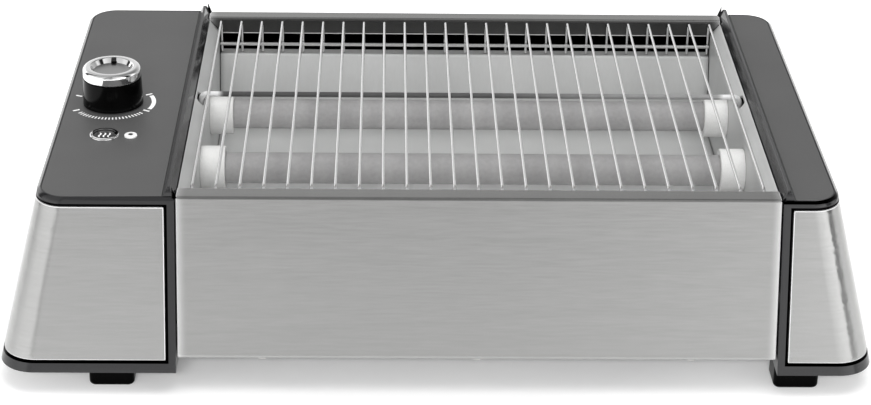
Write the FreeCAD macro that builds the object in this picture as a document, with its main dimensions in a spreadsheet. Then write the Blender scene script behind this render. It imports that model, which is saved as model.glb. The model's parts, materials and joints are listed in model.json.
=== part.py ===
import FreeCAD, Part
import math
import os
import re
import Sketcher

# A flat toaster that toasts on its top. A wire rack lies over two quartz heating
# tubes in an open cavity of folded sheet. A wide moulded end on the left holds the
# timer knob, the button and the pilot lamp, and a narrow one on the right closes
# the other side. The crumb drawer pulls out at the back.
#
# Millimetres. +X is to the right, -Y is the front, +Z is up. The origin is on the
# table under the middle of the whole object.

Vector = FreeCAD.Vector

# The driving sizes. Each is written once, and every piece takes its own from here.
SIZES = {
    # The whole object
    "body_width": 265.0,
    "control_end_width": 60.5,
    "plain_end_width": 25.5,
    "deck_height": 85.5,
    "end_bottom": 10.0,
    "steel_bottom": 15.0,
    "body_top_depth": 218.0,
    "body_lean": 18.5,
    # Moulded ends
    "end_top_depth": 221.0,
    "end_lean": 20.5,
    "end_flare": 18.2,
    "corner_top": 13.0,
    "corner_bottom": 16.0,
    "rim_band": 3.6,
    "rim_round": 1.1,
    "wall": 2.4,
    "cheek": 4.2,
    "fin_rise": 3.8,
    "fin_top": 1.2,
    "fin_slope": 1.9,
    "fin_length": 218.0,
    "fin_nose": 2.6,
    "boss_round": 7.0,
    "boss_from_cheek": 13.0,
    "boss_spread": 34.0,
    "left_boss_place": 88.0,
    "right_boss_place": 80.0,
    "tongue_boss": 11.0,
    "tongue_boss_place": 45.0,
    "tongue_boss_height": 14.0,
    "rib": 3.0,
    # Steel covers let into the ends, the decks and the base covers
    "steel": 0.8,
    "past": 1.0,
    "inlay_drop": 0.1,
    "inlay_gap": 0.1,
    "seam": 0.4,
    "plate_corner": 2.0,
    "deck_plate": 1.5,
    "deck_inset": 1.5,
    "deck_edge": 0.4,
    "fit_gap": 0.2,
    "base_cover": 2.0,
    "vent_width": 2.5,
    "vent_length": 40.0,
    "vent_pitch": 7.0,
    # Folded body panels
    "panel_gap": 0.5,
    "front_rim": 10.0,
    "rear_rim": 8.8,
    "lip": 10.0,
    "panel_foot": 9.5,
    "fold": 1.5,
    "base_gap": 0.05,
    "tongue_reach": 18.0,
    "tongue_depth": 116.0,
    # Cavity of bright sheet
    "cavity_gap": 5.4,
    "crease_height": 78.0,
    "shoulder_height": 84.0,
    "lip_gap": 0.4,
    "ledge_height": 67.2,
    "ledge": 6.5,
    "reflector_depth": 10.5,
    "reflector_bottom": 29.0,
    "reflector_foot": 4.0,
    "sheet_gap": 0.3,
    # Heating tubes
    "tube_round": 14.5,
    "tube_wall": 1.3,
    "tube_spread": 62.0,
    "tube_height": 62.5,
    "cap_round": 20.5,
    "cap_length": 11.4,
    "neck_round": 15.4,
    "neck_length": 15.0,
    "cap_seat": 9.0,
    "bore_gap": 0.2,
    "hole_gap": 0.4,
    "pin_round": 3.0,
    "pin_reach": 5.0,
    "pin_inside": 4.0,
    "collar_round": 6.5,
    "collar": 1.5,
    "coil_round": 6.0,
    "coil_wall": 0.8,
    "coil_past": 3.0,
    "bar_width": 8.0,
    "bar_sheet": 1.0,
    # Wire rack
    "wire_count": 25.0,
    "wire_gap": 0.4,
    "wire_round": 1.4,
    "wire_top": 85.0,
    "rack_front": 96.5,
    "rack_rear": 98.8,
    "wire_bend": 2.2,
    "rack_seat": 0.3,
    "cross_round": 2.6,
    "cross_place": 9.6,
    "cross_reach": 2.7,
    "cross_bend": 2.8,
    "cross_drop": 8.0,
    "slot_length": 10.0,
    "slot_gap": 0.3,
    "side_rod": 1.8,
    "side_rod_height": 72.3,
    "weld": 0.02,
    # Timer knob
    "knob_from_cheek": 37.2,
    "knob_place": 8.8,
    "knob_round": 28.3,
    "knob_taper": 0.5,
    "knob_rise": 19.0,
    "knob_lift": 0.6,
    "ring_round": 27.1,
    "ring_bore": 20.1,
    "ring_height": 5.4,
    "ring_edge": 2.0,
    "ring_lip": 0.7,
    "ring_cone": 1.5,
    "knob_wall": 2.2,
    "knob_hub": 11.0,
    "knob_hollow": 8.0,
    "disc_drop": 2.2,
    "disc_sheet": 0.8,
    "pointer_width": 2.2,
    "shaft_round": 6.0,
    "shaft_flat": 1.5,
    "shaft_gap": 0.05,
    "timer_side": 38.0,
    "timer_height": 22.0,
    "timer_ear": 7.0,
    "timer_ear_sheet": 2.0,
    "timer_ear_side": 15.0,
    "timer_boss": 6.0,
    "timer_hub": 11.0,
    # Button and pilot lamp
    "button_place": 46.3,
    "bezel_round": 13.5,
    "bezel_rise": 1.2,
    "bezel_neck": 12.0,
    "button_round": 10.3,
    "button_gap": 0.3,
    "button_rise": 0.4,
    "button_travel": 2.5,
    "stem_round": 4.0,
    "spring_round": 7.6,
    "spring_wire": 0.7,
    "spring_seat": 6.0,
    "stem_length": 11.8,
    "stem_bore": 13.0,
    "switch_side": 14.0,
    "switch_height": 16.0,
    "switch_drop": 5.8,
    "cap_gap": 0.8,
    "lens_from_cheek": 25.2,
    "lens_round": 6.0,
    "lens_rise": 0.9,
    "lens_neck": 4.6,
    "lamp_round": 4.2,
    "lamp_length": 12.0,
    # Feet and fasteners
    "foot_width": 20.0,
    "foot_depth": 17.0,
    "foot_spread": 234.0,
    "foot_corner": 3.0,
    "foot_edge": 1.8,
    "left_foot_from_cheek": 29.3,
    "right_foot_from_cheek": 10.0,
    "screw_round": 3.0,
    "screw_head": 5.6,
    "screw_head_height": 1.8,
    "screw_length": 9.0,
    "screw_gap": 0.2,
    "foot_well": 4.0,
    "foot_boss": 4.0,
    "rivet_head": 1.2,
    "rivet_spread": 95.0,
    # Crumb drawer
    "tray_sheet": 0.6,
    "tray_height": 9.5,
    "tray_gap": 0.3,
    "block_from_cheek": 31.0,
    "tray_front": 97.0,
    "tray_fold": 1.0,
    "pull_height": 15.0,
    "pull_over": 2.4,
    "pull_lip": 2.6,
    # Mains parts in the control end
    "gland_from_cheek": 42.0,
    "gland_height": 34.0,
    "gland_bore": 7.2,
    "gland_round": 14.0,
    "gland_collar": 17.0,
    "gland_collar_length": 3.5,
    "gland_inside": 11.5,
    "gland_rise": 4.0,
    "gland_mouth": 1.2,
    "block_length": 30.0,
    "block_width": 16.0,
    "block_height": 13.0,
    "block_place": 62.0,
}

# Sizes worked out from the driving ones.
WORKED = {
    "left_cheek": "control_end_width - (control_end_width + body_width + plain_end_width) / 2",
    "right_cheek": "left_cheek + body_width",
    "middle": "(left_cheek + right_cheek) / 2",
    "end_slope": "end_lean / (deck_height - end_bottom)",
    "flare_slope": "end_flare / (deck_height - end_bottom)",
    "corner_slope": "(corner_bottom - corner_top) / (deck_height - end_bottom)",
    "band_bottom": "deck_height - rim_band",
    "recess": "inlay_drop + steel + inlay_gap",
    "hollow_top": "deck_height - deck_plate - wall",
    "deck_seat": "deck_height - deck_plate",
    "fin_foot": "fin_slope * 2 + fin_top",
    "base_top": "steel_bottom + steel * 2 + base_gap",
    "cover_top": "end_bottom + base_cover",
    "cavity_half": "body_width / 2 - cavity_gap",
    "reflector_half": "cavity_half - sheet_gap",
    "rail_height": "base_top + tray_gap",
    "tray_half": "cavity_half - sheet_gap * 2",
    "tray_top": "rail_height + tray_height",
    "tray_rear": "body_top_depth / 2 + body_lean + fit_gap",
    "rack_bottom": "ledge_height + rack_seat",
    "wire_line": "wire_top - wire_round / 2",
    "cross_line": "wire_top - wire_round - cross_round / 2 - weld",
    "wire_half": "cavity_half - wire_gap - wire_round / 2",
    "cross_half": "cavity_half + cross_reach",
    "slot_half": "cross_round / 2 + slot_gap",
    "tube_place": "tube_spread / 2",
    "tube_end": "cavity_half - cap_length + cap_seat",
    "cap_end": "cavity_half - cap_length",
    "neck_end": "cavity_half + neck_length",
    "pin_start": "tube_end - pin_inside",
    "knob_bottom": "deck_height + knob_lift",
    "knob_top": "deck_height + knob_rise",
    "timer_top": "hollow_top - timer_boss - fit_gap / 2",
    "timer_bottom": "timer_top - timer_height",
    "switch_top": "hollow_top - switch_drop",
    "cap_bottom": "switch_top + button_travel + cap_gap",
    "foot_place": "foot_spread / 2",
    "screw_hole": "screw_round / 2 + screw_gap",
}

doc = FreeCAD.newDocument("flat_toaster")
sheet = doc.addObject("Spreadsheet::Sheet", "Sizes")
for row, (word, amount) in enumerate(list(SIZES.items()) + list(WORKED.items())):
    sheet.set("A%d" % (row + 1), word)
    sheet.setAlias("B%d" % (row + 1), word)
    sheet.set("B%d" % (row + 1), "=" + amount if word in WORKED else str(amount))
doc.recompute()

nodes = []


def formula(text):
    """The same formula with each size named as a cell of the sheet."""
    def cell(found):
        word = found.group()
        return "Sizes." + word if word in SIZES or word in WORKED else word
    return re.sub(r"[a-z_]+", cell, str(text))


def amount_of(text):
    """The present value of a formula."""
    return float(sheet.evalExpression(formula(text)))


def bind(thing, place, text):
    """Tie one property or constraint to the sizes."""
    if re.search(r"[a-z]", str(text)):
        thing.setExpression(place, formula(text))


def new_body(label):
    """One piece of the toaster: its label is the name of its file."""
    body = doc.addObject("PartDesign::Body", label)
    body.Label = label
    nodes.append(body)
    return body


def origin_plane(body, role):
    """The body's own XY, XZ or YZ plane."""
    for feature in body.Origin.OriginFeatures:
        if feature.Role == role + "_Plane":
            return feature


def new_sketch(body, name, role, offset):
    """An empty sketch on the body's own plane, moved along the plane's normal."""
    sketch = body.newObject("Sketcher::SketchObject", name)
    sketch.AttachmentSupport = (origin_plane(body, role), [""])
    sketch.MapMode = "FlatFace"
    base = Vector(0, 0, amount_of(offset))
    sketch.AttachmentOffset = FreeCAD.Placement(base, FreeCAD.Rotation())
    bind(sketch, ".AttachmentOffset.Base.z", offset)
    return sketch


def hold(sketch, kind, edge, end, text):
    """Fix a point's distance from the sketch's origin, along X or Y."""
    rule = Sketcher.Constraint(kind, -1, 1, edge, end, amount_of(text))
    number = sketch.addConstraint(rule)
    bind(sketch, "Constraints[%d]" % number, text)


def outline_sketch(body, name, role, offset, corners):
    """A closed outline of straight lines through the given corners."""
    sketch = new_sketch(body, name, role, offset)
    points = [Vector(amount_of(x), amount_of(y), 0) for x, y in corners]
    count = len(points)
    for number in range(count):
        line = Part.LineSegment(points[number], points[(number + 1) % count])
        sketch.addGeometry(line, False)
    for number in range(count):
        joint = Sketcher.Constraint("Coincident", number, 2, (number + 1) % count, 1)
        sketch.addConstraint(joint)
        hold(sketch, "DistanceX", number, 1, corners[number][0])
        hold(sketch, "DistanceY", number, 1, corners[number][1])
    return sketch


def window_sketch(body, name, role, offset, span_x, span_y, rounds):
    """A rectangle from low to high on both axes. rounds gives the radius of each
    corner, counterclockwise from the low one, or None where the corner is sharp."""
    sketch = new_sketch(body, name, role, offset)
    low_x, high_x = [amount_of(text) for text in span_x]
    low_y, high_y = [amount_of(text) for text in span_y]
    corners = [(low_x, low_y), (high_x, low_y), (high_x, high_y), (low_x, high_y)]
    along = [(1, 0), (0, 1), (-1, 0), (0, -1)]
    sizes = [amount_of(text) if text is not None else 0.0 for text in rounds]
    for side in range(4):
        after = (side + 1) % 4
        step = along[side]
        start = Vector(corners[side][0] + step[0] * sizes[side],
                       corners[side][1] + step[1] * sizes[side], 0)
        end = Vector(corners[after][0] - step[0] * sizes[after],
                     corners[after][1] - step[1] * sizes[after], 0)
        sketch.addGeometry(Part.LineSegment(start, end), False)
    for side in range(4):
        direction = "Horizontal" if side % 2 == 0 else "Vertical"
        sketch.addConstraint(Sketcher.Constraint(direction, side))
    for corner in range(4):
        before = (corner + 3) % 4
        if rounds[corner] is None:
            sketch.addConstraint(Sketcher.Constraint("Coincident", before, 2, corner, 1))
            continue
        inward = (along[corner][0] - along[before][0], along[corner][1] - along[before][1])
        centre = Vector(corners[corner][0] + inward[0] * sizes[corner],
                        corners[corner][1] + inward[1] * sizes[corner], 0)
        circle = Part.Circle(centre, Vector(0, 0, 1), sizes[corner])
        first = math.pi * (1 + corner / 2)
        arc = sketch.addGeometry(Part.ArcOfCircle(circle, first, first + math.pi / 2), False)
        sketch.addConstraint(Sketcher.Constraint("Tangent", before, 2, arc, 1))
        sketch.addConstraint(Sketcher.Constraint("Tangent", arc, 2, corner, 1))
        number = sketch.addConstraint(Sketcher.Constraint("Radius", arc, sizes[corner]))
        bind(sketch, "Constraints[%d]" % number, rounds[corner])
    hold(sketch, "DistanceY", 0, 1, span_y[0])
    hold(sketch, "DistanceX", 1, 1, span_x[1])
    hold(sketch, "DistanceY", 2, 1, span_y[1])
    hold(sketch, "DistanceX", 3, 1, span_x[0])
    return sketch


def circle_sketch(body, name, role, offset, circles):
    """Circles, each given by its centre and its diameter."""
    sketch = new_sketch(body, name, role, offset)
    for x, y, across in circles:
        centre = Vector(amount_of(x), amount_of(y), 0)
        radius = amount_of(across) / 2
        edge = sketch.addGeometry(Part.Circle(centre, Vector(0, 0, 1), radius), False)
        number = sketch.addConstraint(Sketcher.Constraint("Radius", edge, radius))
        bind(sketch, "Constraints[%d]" % number, "(%s) / 2" % across)
        hold(sketch, "DistanceX", edge, 3, x)
        hold(sketch, "DistanceY", edge, 3, y)
    return sketch


def turned_sketch(body, name, corners):
    """Half of a turned piece's section, to the right of the upright axis."""
    return outline_sketch(body, name, "XZ", "0", corners)


def near_end(role, low, high):
    """Where a sketch lies so that its feature runs from low to high. The XZ plane
    faces the front, so there the sketch starts at the far end."""
    return "-(%s)" % high if role == "XZ" else low


def grow(body, name, make, role, low, high, *shape):
    """Add material from low to high along the plane's axis."""
    sketch = make(body, name + "_sketch", role, near_end(role, low, high), *shape)
    pad = body.newObject("PartDesign::Pad", name)
    pad.Profile = sketch
    pad.Length = amount_of("(%s) - (%s)" % (high, low))
    bind(pad, "Length", "(%s) - (%s)" % (high, low))
    return pad


def cut(body, name, make, role, low, high, *shape):
    """Take material away from low to high along the plane's axis."""
    doc.recompute()
    before = body.Shape.Volume
    sketch = make(body, name + "_sketch", role, near_end(role, low, high), *shape)
    pocket = body.newObject("PartDesign::Pocket", name)
    pocket.Profile = sketch
    pocket.Reversed = True
    pocket.Length = amount_of("(%s) - (%s)" % (high, low))
    bind(pocket, "Length", "(%s) - (%s)" % (high, low))
    doc.recompute()
    if not body.Shape.Volume < before:
        raise RuntimeError(body.Label + ": " + name + " takes nothing away")
    return pocket


def turn(body, name, corners, remove=False):
    """A solid of revolution about the body's upright axis, or a groove."""
    sketch = turned_sketch(body, name + "_sketch", corners)
    kind = "PartDesign::Groove" if remove else "PartDesign::Revolution"
    turned = body.newObject(kind, name)
    turned.Profile = sketch
    turned.ReferenceAxis = (sketch, ["V_Axis"])
    turned.Angle = 360
    return turned


def loft(body, name, lower, upper, remove=False):
    """A straight-sided solid between two sections, added or taken away."""
    kind = "PartDesign::SubtractiveLoft" if remove else "PartDesign::AdditiveLoft"
    made = body.newObject(kind, name)
    made.Profile = lower
    made.Sections = [upper]
    made.Ruled = True
    return made


def round_edges(body, name, test, text):
    """Fillet the edges that the test picks by their place."""
    doc.recompute()
    shape = body.Shape
    picked = ["Edge%d" % (number + 1) for number, edge in enumerate(shape.Edges) if test(edge)]
    if not picked:
        raise RuntimeError(body.Label + ": " + name + " finds no edge")
    base = body.Tip
    fillet = body.newObject("PartDesign::Fillet", name)
    fillet.Base = (base, picked)
    fillet.Radius = amount_of(text)
    bind(fillet, "Radius", text)
    doc.recompute()
    if "Invalid" in fillet.State:
        raise RuntimeError(body.Label + ": " + name + " fails")
    return fillet


def hollow_out(body, name, test, text):
    """Leave a sheet of even thickness, open at the faces that the test picks."""
    doc.recompute()
    shape = body.Shape
    picked = ["Face%d" % (number + 1) for number, face in enumerate(shape.Faces) if test(face)]
    base = body.Tip
    shell = body.newObject("PartDesign::Thickness", name)
    shell.Base = (base, picked)
    shell.Value = amount_of(text)
    shell.Reversed = True
    shell.Join = "Intersection"
    bind(shell, "Value", text)
    doc.recompute()
    if "Invalid" in shell.State:
        raise RuntimeError(body.Label + ": " + name + " fails")
    return shell


def box_of(thing):
    """The bounding box of an edge or a face."""
    return thing.BoundBox


def close(first, second, tolerance=0.01):
    """Whether two lengths agree."""
    return abs(first - second) < tolerance


# Moulded ends. Both are the same design at another width: a flared, leaning shell
# with two round corners on its outer side and a flat cheek towards the body.
ENDS = {
    "left": ("left_cheek", -1, "control_end_width"),
    "right": ("right_cheek", 1, "plain_end_width"),
}


def outward(side, text):
    """A place given as a distance from the cheek towards the outside."""
    cheek, sign, width = ENDS[side]
    return "%s %s (%s)" % (cheek, "-" if sign < 0 else "+", text)


def end_section(body, name, side, height, inset, start):
    """The end's outline at a height, drawn in by inset, from start outwards."""
    fall = "(deck_height - (%s))" % height
    reach = "%s + flare_slope * %s - (%s)" % (ENDS[side][2], fall, inset)
    depth = "end_top_depth / 2 + end_slope * %s - (%s)" % (fall, inset)
    corner = "corner_top + corner_slope * %s - (%s)" % (fall, inset)
    inner = outward(side, start)
    outer = outward(side, reach)
    if side == "left":
        span = (outer, inner)
        rounds = [corner, None, None, corner]
    else:
        span = (inner, outer)
        rounds = [None, corner, corner, None]
    return window_sketch(body, name, "XY", height, span, ("-(%s)" % depth, depth), rounds)


def end_slab(body, name, side, low, high, inset, start="0", remove=False, upper_inset=None):
    """The part of the end between two heights."""
    lower = end_section(body, name + "_lower", side, low, inset, start)
    upper = end_section(body, name + "_upper", side, high, upper_inset or inset, start)
    return loft(body, name, lower, upper, remove)


def cheek_strip(body, side):
    """The cheek's own edge, which stays flush with the rims beside the cover."""
    sections = []
    for name, height in (("strip_lower", "steel_bottom"), ("strip_upper", "band_bottom")):
        depth = "end_top_depth / 2 + end_slope * (deck_height - %s)" % height
        edges = sorted([outward(side, "0"), outward(side, "cheek")], key=amount_of)
        sketch = window_sketch(body, name, "XY", height, edges, ("-(%s)" % depth, depth), [None] * 4)
        sections.append(sketch)
    return loft(body, "cheek_strip", sections[0], sections[1])


def span_out(side, near, far):
    """The span along X between two distances from the cheek, low end first."""
    near_x = outward(side, near)
    far_x = outward(side, far)
    return (far_x, near_x) if side == "left" else (near_x, far_x)


def boss_places(side):
    """Where the base cover is screwed to the end: two rows at the wide end, one at the narrow."""
    place = side + "_boss_place"
    near = outward(side, "boss_from_cheek")
    far = outward(side, "boss_from_cheek + boss_spread")
    rows = [near, far] if side == "left" else [near]
    return [(row, sign + place) for row in rows for sign in ("", "-")]


def tongue_places(side):
    """Where the base plate's tongue is screwed to the end."""
    row = outward(side, "tongue_boss")
    return [(row, "tongue_boss_place"), (row, "-tongue_boss_place")]


def foot_places(side):
    """The middles of the end's two feet."""
    row = outward(side, side + "_foot_from_cheek")
    return [(row, "-foot_place"), (row, "foot_place")]


def centred(size):
    """A span of the given size about zero."""
    return ("-(%s) / 2" % size, "(%s) / 2" % size)


def with_size(places, across):
    """The same places as circles of one diameter."""
    return [(x, y, across) for x, y in places]


KNOB_X = outward("left", "knob_from_cheek")
LENS_X = outward("left", "lens_from_cheek")
TIMER_PLACES = [
    (KNOB_X, "-knob_place + timer_side / 2 + timer_ear / 2"),
    (KNOB_X, "-knob_place - timer_side / 2 - timer_ear / 2"),
]
CONTROL_HOLES = [
    (KNOB_X, "-knob_place", "timer_hub + hole_gap"),
    (KNOB_X, "-button_place", "bezel_neck + hole_gap"),
    (LENS_X, "-button_place", "lens_neck + hole_gap"),
]
GLAND_HOLE = [(outward("left", "gland_from_cheek"), "gland_height", "gland_round + hole_gap")]
NECK_HOLES = [
    ("tube_place", "tube_height", "neck_round + hole_gap"),
    ("-tube_place", "tube_height", "neck_round + hole_gap"),
]


def end_housing(side):
    """The moulded end itself, open below, with its bosses and openings."""
    body = new_body(side + "_end_housing")
    end_slab(body, "lower_rim", side, "end_bottom", "steel_bottom", "0")
    end_slab(body, "core", side, "steel_bottom", "band_bottom", "recess")
    end_slab(body, "rim", side, "band_bottom", "deck_height - rim_round", "0")
    end_slab(body, "rim_bevel", side, "deck_height - rim_round", "deck_height", "0",
             upper_inset="rim_round")
    cheek_strip(body, side)
    end_slab(body, "hollow", side, "end_bottom", "hollow_top", "recess + wall", "cheek", remove=True)
    cut(body, "deck_recess", end_outline, "XY", "deck_seat", "deck_height",
        side, "deck_height", "deck_inset", "fin_foot + seam / 2")
    fin(body, side)
    ribs = [span_out(side, "cheek - rib / 2", "tongue_boss")]
    for sign in ("", "-"):
        low = "%stongue_boss_place - rib / 2" % sign
        high = "%stongue_boss_place + rib / 2" % sign
        grow(body, "rib_" + ("rear" if sign == "" else "front"), window_sketch, "XY",
             "base_top + fit_gap", "base_top + tongue_boss_height", ribs[0], (low, high), [None] * 4)
    grow(body, "tongue_bosses", circle_sketch, "XY", "base_top + fit_gap",
         "base_top + tongue_boss_height", with_size(tongue_places(side), "boss_round"))
    grow(body, "cover_bosses", circle_sketch, "XY", "cover_top + fit_gap", "hollow_top",
         with_size(boss_places(side), "boss_round"))
    cut(body, "tongue_slot", window_sketch, "YZ", *span_out(side, "-past", "cheek + rib / 4"),
        ("-tongue_depth / 2 - fit_gap", "tongue_depth / 2 + fit_gap"),
        ("base_top - steel - fit_gap", "base_top + fit_gap"), [None] * 4)
    cut(body, "neck_holes", circle_sketch, "YZ", *span_out(side, "-past", "cheek + past"), NECK_HOLES)
    cut(body, "cover_screw_holes", circle_sketch, "XY", "cover_top", "cover_top + screw_length",
        with_size(boss_places(side), "screw_round + fit_gap / 2"))
    cut(body, "tongue_screw_holes", circle_sketch, "XY", "base_top", "base_top + screw_length",
        with_size(tongue_places(side), "screw_round + fit_gap / 2"))
    if side == "left":
        grow(body, "timer_bosses", circle_sketch, "XY", "hollow_top - timer_boss", "hollow_top",
             with_size(TIMER_PLACES, "boss_round"))
        cut(body, "timer_screw_holes", circle_sketch, "XY", "hollow_top - timer_boss",
            "hollow_top + wall / 2", with_size(TIMER_PLACES, "screw_round + fit_gap / 2"))
        cut(body, "control_holes", circle_sketch, "XY", "hollow_top - past", "deck_height", CONTROL_HOLES)
        cut(body, "gland_hole", circle_sketch, "XZ", "end_top_depth / 2",
            "end_top_depth / 2 + end_lean", GLAND_HOLE)
    return body


def end_outline(body, name, role, offset, side, height, inset, start):
    """The end's outline at one height, drawn on a plane at another."""
    sketch = end_section(body, name, side, height, inset, start)
    sketch.AttachmentOffset = FreeCAD.Placement(Vector(0, 0, amount_of(offset)), FreeCAD.Rotation())
    bind(sketch, ".AttachmentOffset.Base.z", offset)
    return sketch


def fin(body, side):
    """The ridge along the cheek that keeps crumbs off the deck, rounded at both ends."""
    top = "deck_height + fin_rise"
    grow(body, "fin", window_sketch, "YZ", *span_out(side, "0", "fin_foot"),
         centred("fin_length"), ("deck_height - rim_band / 2", top),
         [None, None, "fin_nose", "fin_nose"])
    cut(body, "fin_inner_slope", outline_sketch, "XZ", *centred("fin_length"), [
        (outward(side, "0"), "deck_height - fin_slope / 2"),
        (outward(side, "0"), top),
        (outward(side, "fin_slope"), top),
    ])
    cut(body, "fin_outer_slope", outline_sketch, "XZ", *centred("fin_length"), [
        (outward(side, "fin_foot"), "deck_height"),
        (outward(side, "fin_foot"), top),
        (outward(side, "fin_slope + fin_top"), top),
    ])


def steel_cover(side):
    """The brushed sheet bent round the end and let into it."""
    body = new_body(side + "_steel_cover")
    end_slab(body, "sheet", side, "steel_bottom + seam", "band_bottom - seam", "inlay_drop",
             "cheek + seam")
    end_slab(body, "inside", side, "steel_bottom", "band_bottom", "inlay_drop + steel",
             "cheek", remove=True)
    if side == "left":
        cut(body, "gland_hole", circle_sketch, "XZ", "end_top_depth / 2",
            "end_top_depth / 2 + end_lean", GLAND_HOLE)
    return body


def deck(side, label):
    """The matt plate let into the top of the end."""
    body = new_body(label)
    grow(body, "plate", end_outline, "XY", "deck_seat", "deck_height",
         side, "deck_height", "deck_inset + fit_gap / 2", "fin_foot + seam")

    def top_edge(edge):
        return close(box_of(edge).ZMin, amount_of("deck_height"))
    round_edges(body, "edge_round", top_edge, "deck_edge")
    if side == "left":
        cut(body, "control_holes", circle_sketch, "XY", "deck_seat", "deck_height", CONTROL_HOLES)
    return body


def base_cover(side, slots):
    """The flat cover that closes the end from below, with vents and screw holes."""
    body = new_body(side + "_base_cover")
    grow(body, "plate", end_outline, "XY", "end_bottom", "cover_top",
         side, "cover_top", "recess + wall + fit_gap", "cheek + fit_gap")
    grow(body, "foot_bosses", circle_sketch, "XY", "cover_top", "cover_top + foot_boss",
         with_size(foot_places(side), "boss_round"))
    cut(body, "screw_holes", circle_sketch, "XY", "end_bottom", "cover_top",
        with_size(boss_places(side), "screw_hole * 2"))
    cut(body, "foot_holes", circle_sketch, "XY", "end_bottom", "cover_top + foot_boss",
        with_size(foot_places(side), "screw_hole * 2"))
    first = span_out(side, "boss_from_cheek + vent_pitch - vent_width / 2",
                     "boss_from_cheek + vent_pitch + vent_width / 2")
    slot = cut(body, "vent", window_sketch, "XY", "end_bottom", "cover_top", first,
               ("-vent_length / 2", "vent_length / 2"), [None] * 4)
    rows = body.newObject("PartDesign::LinearPattern", "vents")
    rows.Originals = [slot]
    for feature in body.Origin.OriginFeatures:
        if feature.Role == "X_Axis":
            rows.Direction = (feature, [""])
    rows.Reversed = side == "left"
    rows.Length = amount_of("vent_pitch * %d" % (slots - 1))
    bind(rows, "Length", "vent_pitch * %d" % (slots - 1))
    rows.Occurrences = slots
    body.Tip = rows
    return body


def foot(side, label, place):
    """A moulded foot with a screw sunk in its underside."""
    body = new_body(label)
    x, y = place
    grow(body, "block", window_sketch, "XY", "0", "end_bottom",
         ("%s - foot_width / 2" % x, "%s + foot_width / 2" % x),
         ("%s - foot_depth / 2" % y, "%s + foot_depth / 2" % y), ["foot_corner"] * 4)

    def lower_edge(edge):
        return close(box_of(edge).ZMax, 0)
    round_edges(body, "tread_edge", lower_edge, "foot_edge")
    cut(body, "screw_well", circle_sketch, "XY", "0", "foot_well",
        [(x, y, "screw_head + hole_gap * 2")])
    cut(body, "screw_hole", circle_sketch, "XY", "foot_well", "end_bottom", [(x, y, "screw_hole * 2")])
    return body


for side in ENDS:
    end_housing(side)
    steel_cover(side)
deck("left", "control_deck")
deck("right", "right_deck")
base_cover("left", 5)
base_cover("right", 2)
for side in ENDS:
    for name, place in zip(("front", "rear"), foot_places(side)):
        foot(side, "%s_%s_foot" % (side, name), place)


# Body of folded sheet between the ends
BODY_SPAN = ("left_cheek + panel_gap", "right_cheek - panel_gap")
TOP = "body_top_depth / 2"
TRAY_SPAN = ("middle - tray_half", "middle + tray_half")


def front_or_rear(sign, text):
    """A place on Y, mirrored for the front."""
    return "%s(%s)" % ("-" if sign < 0 else "", text)


def folded_sheet(label, role, low, high, corners, thickness, fold):
    """A sheet folded along the given corners: its outline from first corner to last is
    the sheet's outer face, and the side from last to first stays open."""
    body = new_body(label)
    grow(body, "form", outline_sketch, role, low, high, corners)
    points = [(amount_of(first), amount_of(second)) for first, second in corners]
    along = "XLength" if role == "YZ" else "YLength"

    def in_section(shape):
        box = box_of(shape)
        if role == "YZ":
            return box.YMin, box.YMax, box.ZMin, box.ZMax
        return box.XMin, box.XMax, box.ZMin, box.ZMax

    def is_fold(edge):
        low_a, high_a, low_b, high_b = in_section(edge)
        if high_a - low_a > 0.01 or high_b - low_b > 0.01:
            return False
        return any(close(low_a, a) and close(low_b, b) for a, b in points[1:-1])
    round_edges(body, "folds", is_fold, fold)
    first, last = points[0], points[-1]

    def is_open(face):
        low_a, high_a, low_b, high_b = in_section(face)
        if getattr(box_of(face), along) < 0.01:
            return True
        return close(low_a, min(first[0], last[0])) and close(high_a, max(first[0], last[0])) and \
            close(low_b, min(first[1], last[1])) and close(high_b, max(first[1], last[1]))
    hollow_out(body, "gauge", is_open, thickness)
    return body


def body_panel(label, sign, rim):
    """The front or rear panel: foot, leaning face, rim and inner lip in one sheet."""
    corners = [
        (front_or_rear(sign, TOP + " + body_lean - panel_foot"), "steel_bottom"),
        (front_or_rear(sign, TOP + " + body_lean"), "steel_bottom"),
        (front_or_rear(sign, TOP), "deck_height"),
        (front_or_rear(sign, TOP + " - " + rim), "deck_height"),
        (front_or_rear(sign, TOP + " - " + rim), "deck_height - lip"),
    ]
    return folded_sheet(label, "YZ", BODY_SPAN[0], BODY_SPAN[1], corners, "steel", "fold")


def rivet_places(sign):
    """The three rivets that join a panel's foot to the base plate."""
    y = front_or_rear(sign, TOP + " + body_lean - panel_foot / 2 - fold / 2")
    return [("middle - rivet_spread", y), ("middle", y), ("middle + rivet_spread", y)]


RIVETS = rivet_places(-1) + rivet_places(1)
front_panel = body_panel("front_panel", -1, "front_rim")
cut(front_panel, "rivet_holes", circle_sketch, "XY", "steel_bottom", "steel_bottom + steel",
    with_size(rivet_places(-1), "screw_round + fit_gap / 2"))
rear_panel = body_panel("rear_panel", 1, "rear_rim")
cut(rear_panel, "rivet_holes", circle_sketch, "XY", "steel_bottom", "steel_bottom + steel",
    with_size(rivet_places(1), "screw_round + fit_gap / 2"))
cut(rear_panel, "tray_slot", window_sketch, "XZ", TOP, TOP + " + body_lean + past",
    ("middle - tray_half - tray_gap", "middle + tray_half + tray_gap"),
    ("rail_height - fit_gap", "tray_top + tray_gap"), [None] * 4)

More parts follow.
